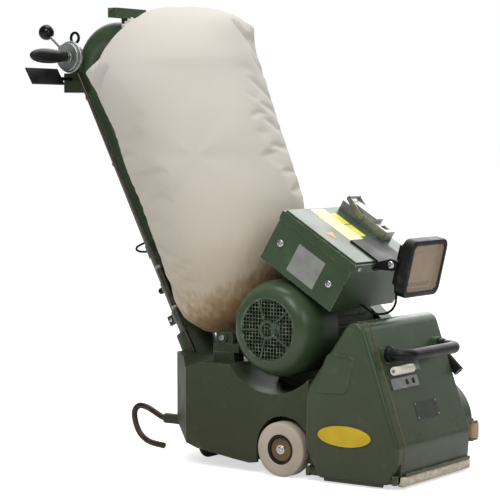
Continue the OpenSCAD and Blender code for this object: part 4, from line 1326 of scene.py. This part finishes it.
def crumpled(obj):
    """Soft folds: puckers along the seams, folds at the neck and wrinkles at the stained bottom."""
    mesh = obj.data
    moves = []
    for vertex in mesh.vertices:
        p = vertex.co
        x, y, z = (p.x - ORIGIN.x) / MM, (p.y - ORIGIN.y) / MM, p.z / MM
        side, turn = from_seam(p)
        along = turn * 300
        pucker = noise.noise(Vector((along / 26, 0.3 * abs(side) / 26, 1.0)))
        swell = 1.5 * pucker * exp(-abs(side) / 30) - 2.0 * exp(-((side / 7) ** 2))
        ahead, off, angle = from_neck(p)
        near = exp(-max(0.0, hypot(ahead, off - 31)) / 55)
        swell += 5.0 * near * noise.noise(Vector((angle * 3.2, ahead / 70, 5.0)))
        low = min(max((430 - z) / 120, 0.0), 1.0)
        ridge = noise.noise(Vector((x / 20, y / 18, z / 60 + 9)))
        fine = noise.noise(Vector((x / 9, y / 8, z / 26)))
        swell += low * (2.6 * ridge + 1.3 * fine)
        broad = noise.noise(Vector((side / 170, along / 190, 2.0)))
        swell += 2.4 * broad
        moves.append(vertex.normal * (swell * MM))
    for vertex, move in zip(mesh.vertices, moves):
        vertex.co += move
    return obj


def simulated(obj, most=0.010):
    """Fills the bag: cloth with pressure and no gravity, its seams, neck and top held."""
    start = [v.co.copy() for v in obj.data.vertices]
    held = obj.vertex_groups.new(name="held")
    for vertex in obj.data.vertices:
        side, _ = from_seam(vertex.co)
        ahead, off, _ = from_neck(vertex.co)
        at_neck = hypot(max(0, -ahead), off) < 62 and ahead < 40
        weight = 1.0 if at_neck else exp(-((side / 6) ** 2))
        if weight > 0.05:
            held.add([vertex.index], weight, "REPLACE")
    cloth = obj.modifiers.new("cloth", "CLOTH")
    settings = cloth.settings
    for name, value in (
        ("quality", 5),
        ("mass", 0.3),
        ("tension_stiffness", 12),
        ("compression_stiffness", 6),
        ("shear_stiffness", 4),
        ("bending_stiffness", 0.6),
        ("use_pressure", True),
        ("uniform_pressure_force", 4.0),
        ("vertex_group_mass", "held"),
        ("shrink_min", -0.05),
    ):
        setattr(settings, name, value)
    settings.effector_weights.gravity = 0
    cloth.point_cache.frame_start = 1
    cloth.point_cache.frame_end = 20
    scene = bpy.context.scene
    for step in range(1, 21):
        scene.frame_set(step)
    applied(obj)
    scene.frame_set(1)
    for vertex, before in zip(obj.data.vertices, start):
        move = vertex.co - before
        if move.length > most:
            vertex.co = before + move * (most / move.length)
    return obj


def bag_seam(tree):
    """A flat tape along the seams, laid on the finished cloth and left open at the neck."""
    count = 300
    route = []
    for k in range(count):
        a = 2 * pi * k / count
        towards = (BAG_FRAME.to_3x3() @ Vector((sin(a), 0, cos(a)))).normalized()
        z = 640
        hit = None
        for _ in range(3):
            centre = BAG_FRAME @ Vector((30, seam_side(z), 640))
            hit = tree.ray_cast(centre + towards * 0.9, -towards)[0]
            if hit is None:
                break
            z = hit.z / MM
        if hit is None:
            continue
        ahead, off, _ = from_neck(hit)
        if hypot(max(0, -ahead), off) < 46 and ahead < 20:
            continue
        route.append((hit, towards))
    side = (BAG_FRAME.to_3x3() @ Vector((0, 1, 0))).normalized()
    rings = []
    for hit, towards in route:
        profile = [(-3, -1.2), (-3, 0.2), (-1.65, 1.1), (1.65, 1.1), (3, 0.2), (3, -1.2)]
        rings.append([hit + side * (u * MM) + towards * (v * MM) for u, v in profile])
    gap = max(range(len(route)), key=lambda i: (route[i][0] - route[i - 1][0]).length)
    shape = Shape().rings(rings[gap:] + rings[:gap])
    part("bag_seam_tape", shape, TAPE_CLOTH, "root", Matrix())


def bag_neck():
    """The neck's funnel: from a wide fold on the bag, in to the tie and out to a frill on the tube."""
    sides = 120
    rings = []
    profile = [
        (96, 58, 0.4),
        (80, 50, 0.8),
        (66, 41, 1.4),
        (57, 35, 1.5),
        (51, 32.6, 0.7),
        (45, 34.0, 1.4),
        (38, 36.5, 2.4),
        (33, 37.5, 3.0),
        (32.4, 35.5, 3.0),
        (38, 32.6, 1.4),
        (51, 30.8, 0.2),
        (66, 33, 0.6),
        (92, 44, 0.4),
    ]
    for h, r, fold in profile:
        ring = []
        for k in range(sides):
            a = 2 * pi * k / sides
            wave = cos(17 * a + 1.5 * sin(3 * a)) * fold + 0.5 * fold * cos(7 * a + 1)
            ring.append(((r + wave) * cos(a), (r + wave) * sin(a), h))
        rings.append(ring)
    return Shape().rings(rings, closed=True)


def dust_bag():
    bag = built("dust_bag_cloth", bag_start(), BAG_FRAME)
    edited(bag.data, faced_out)
    remesh = bag.modifiers.new("remesh", "REMESH")
    remesh.mode = "VOXEL"
    remesh.voxel_size = 0.0062
    even = bag.modifiers.new("even", "SMOOTH")
    even.factor, even.iterations = 0.5, 4
    applied(bag)
    crumpled(bag)
    simulated(bag)
    finer = bag.modifiers.new("finer", "SUBSURF")
    finer.levels = finer.render_levels = 1
    applied(bag)
    bag.data.materials.clear()
    bag.data.materials.append(BAG_CLOTH)
    for polygon in bag.data.polygons:
        polygon.use_smooth = True
        polygon.material_index = 0
    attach(bag, "root")
    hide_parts("dust_bag")
    bag_seam(BVHTree.FromObject(bag, bpy.context.evaluated_depsgraph_get()))
    part("bag_neck_cloth", bag_neck(), BAG_CLOTH, "root", MOUTH, sharp=80)
    strap = [(32.4, 45), (34.4, 44.6), (34.9, 46), (34.9, 56), (34.4, 57.4), (32.4, 57)]
    tie = Shape().lathe(strap, sides=72, closed=True)
    tie.box((-7, 33, 45.5), (7, 37.5, 56.5), 1.0)
    part("bag_tie", tie, STRAP_CLOTH, "root", MOUTH, "bag_strap")


dust_bag()

# ---- stage


def add_floor():
    """A white floor, brighter for the camera, that runs to the horizon."""
    corners = [(-30, -30, 0), (30, -30, 0), (30, 30, 0), (-30, 30, 0)]
    floor = built("floor", Shape().add(corners, [(0, 1, 2, 3)]), Matrix())
    pale = Finish("floor", roughness=0.8)
    pale.colour(pale.mix(pale.noise(1.5, 2.0), (0.74, 0.74, 0.73, 1), (0.78, 0.78, 0.77, 1)))
    pale.shade("Emission Strength", pale.maths("MULTIPLY", pale.ray("Is Camera Ray"), 0.62))
    pale.shade("Emission Color", (1, 1, 1, 1))
    floor.data.materials.append(pale.material)


def add_room():
    """A room that is white to the camera, dim to the object, and bright behind it in reflections."""
    world = bpy.data.worlds.new("studio")
    bpy.context.scene.world = world
    world.use_nodes = True
    room = Nodes(world.node_tree)
    way = room.node("ShaderNodeTexCoord").outputs["Generated"]
    rise = room.span(room.height(way), 0.14, 0.75, -0.3, 0.9)
    mirrored = room.span(room.dot(way, (0.79, 0.30, 0.53)), 0.16, 1.9, 0.6, 0.9)
    met = room.mix(room.ray("Is Glossy Ray"), rise, mirrored, "FLOAT")
    background = world.node_tree.nodes["Background"].inputs
    background["Color"].default_value = (1, 1, 1, 1)
    room.put(room.mix(room.ray("Is Camera Ray"), met, 1.0, "FLOAT"), background["Strength"])


def add_lights():
    for name, place, size, power in (
        ("key", (-2.2, -1.0, 2.8), 1.4, 36),
        ("front", (-1.2, -3.2, 1.8), 1.2, 13),
        ("above", (0.2, 0.2, 3.2), 1.6, 30),
        ("back", (2.7, 0.8, 2.3), 2.0, 22),
    ):
        data = bpy.data.lights.new(name, "AREA")
        data.size = size
        data.energy = power
        lamp = linked(name, data)
        lamp.location = place
        lamp.rotation_euler = (Vector((0, 0, 0.45)) - Vector(place)).to_track_quat("-Z", "Y").to_euler()


def add_camera():
    """The picture's view: far off, from the left and a little in front, slightly above the floor."""
    turn, lift, roll = radians(-54.87), radians(3.49), radians(-0.08)
    back = Vector((sin(turn) * cos(lift), -cos(turn) * cos(lift), sin(lift)))
    right = Vector((cos(turn), sin(turn), 0))
    up = back.cross(right)
    right, up = right * cos(roll) + up * sin(roll), up * cos(roll) - right * sin(roll)
    data = bpy.data.cameras.new("camera")
    data.sensor_width = 36
    data.lens = 135.68
    data.clip_end = 50
    camera = linked("camera", data)
    turned_to = Matrix((right, up, back)).transposed().to_4x4()
    camera.matrix_world = Matrix.Translation(WORLD @ Vector((-3249.4, -2106.3, 685.0))) @ turned_to
    bpy.context.scene.camera = camera


add_floor()
add_room()
add_lights()
add_camera()
bpy.context.scene.view_settings.view_transform = "Standard"
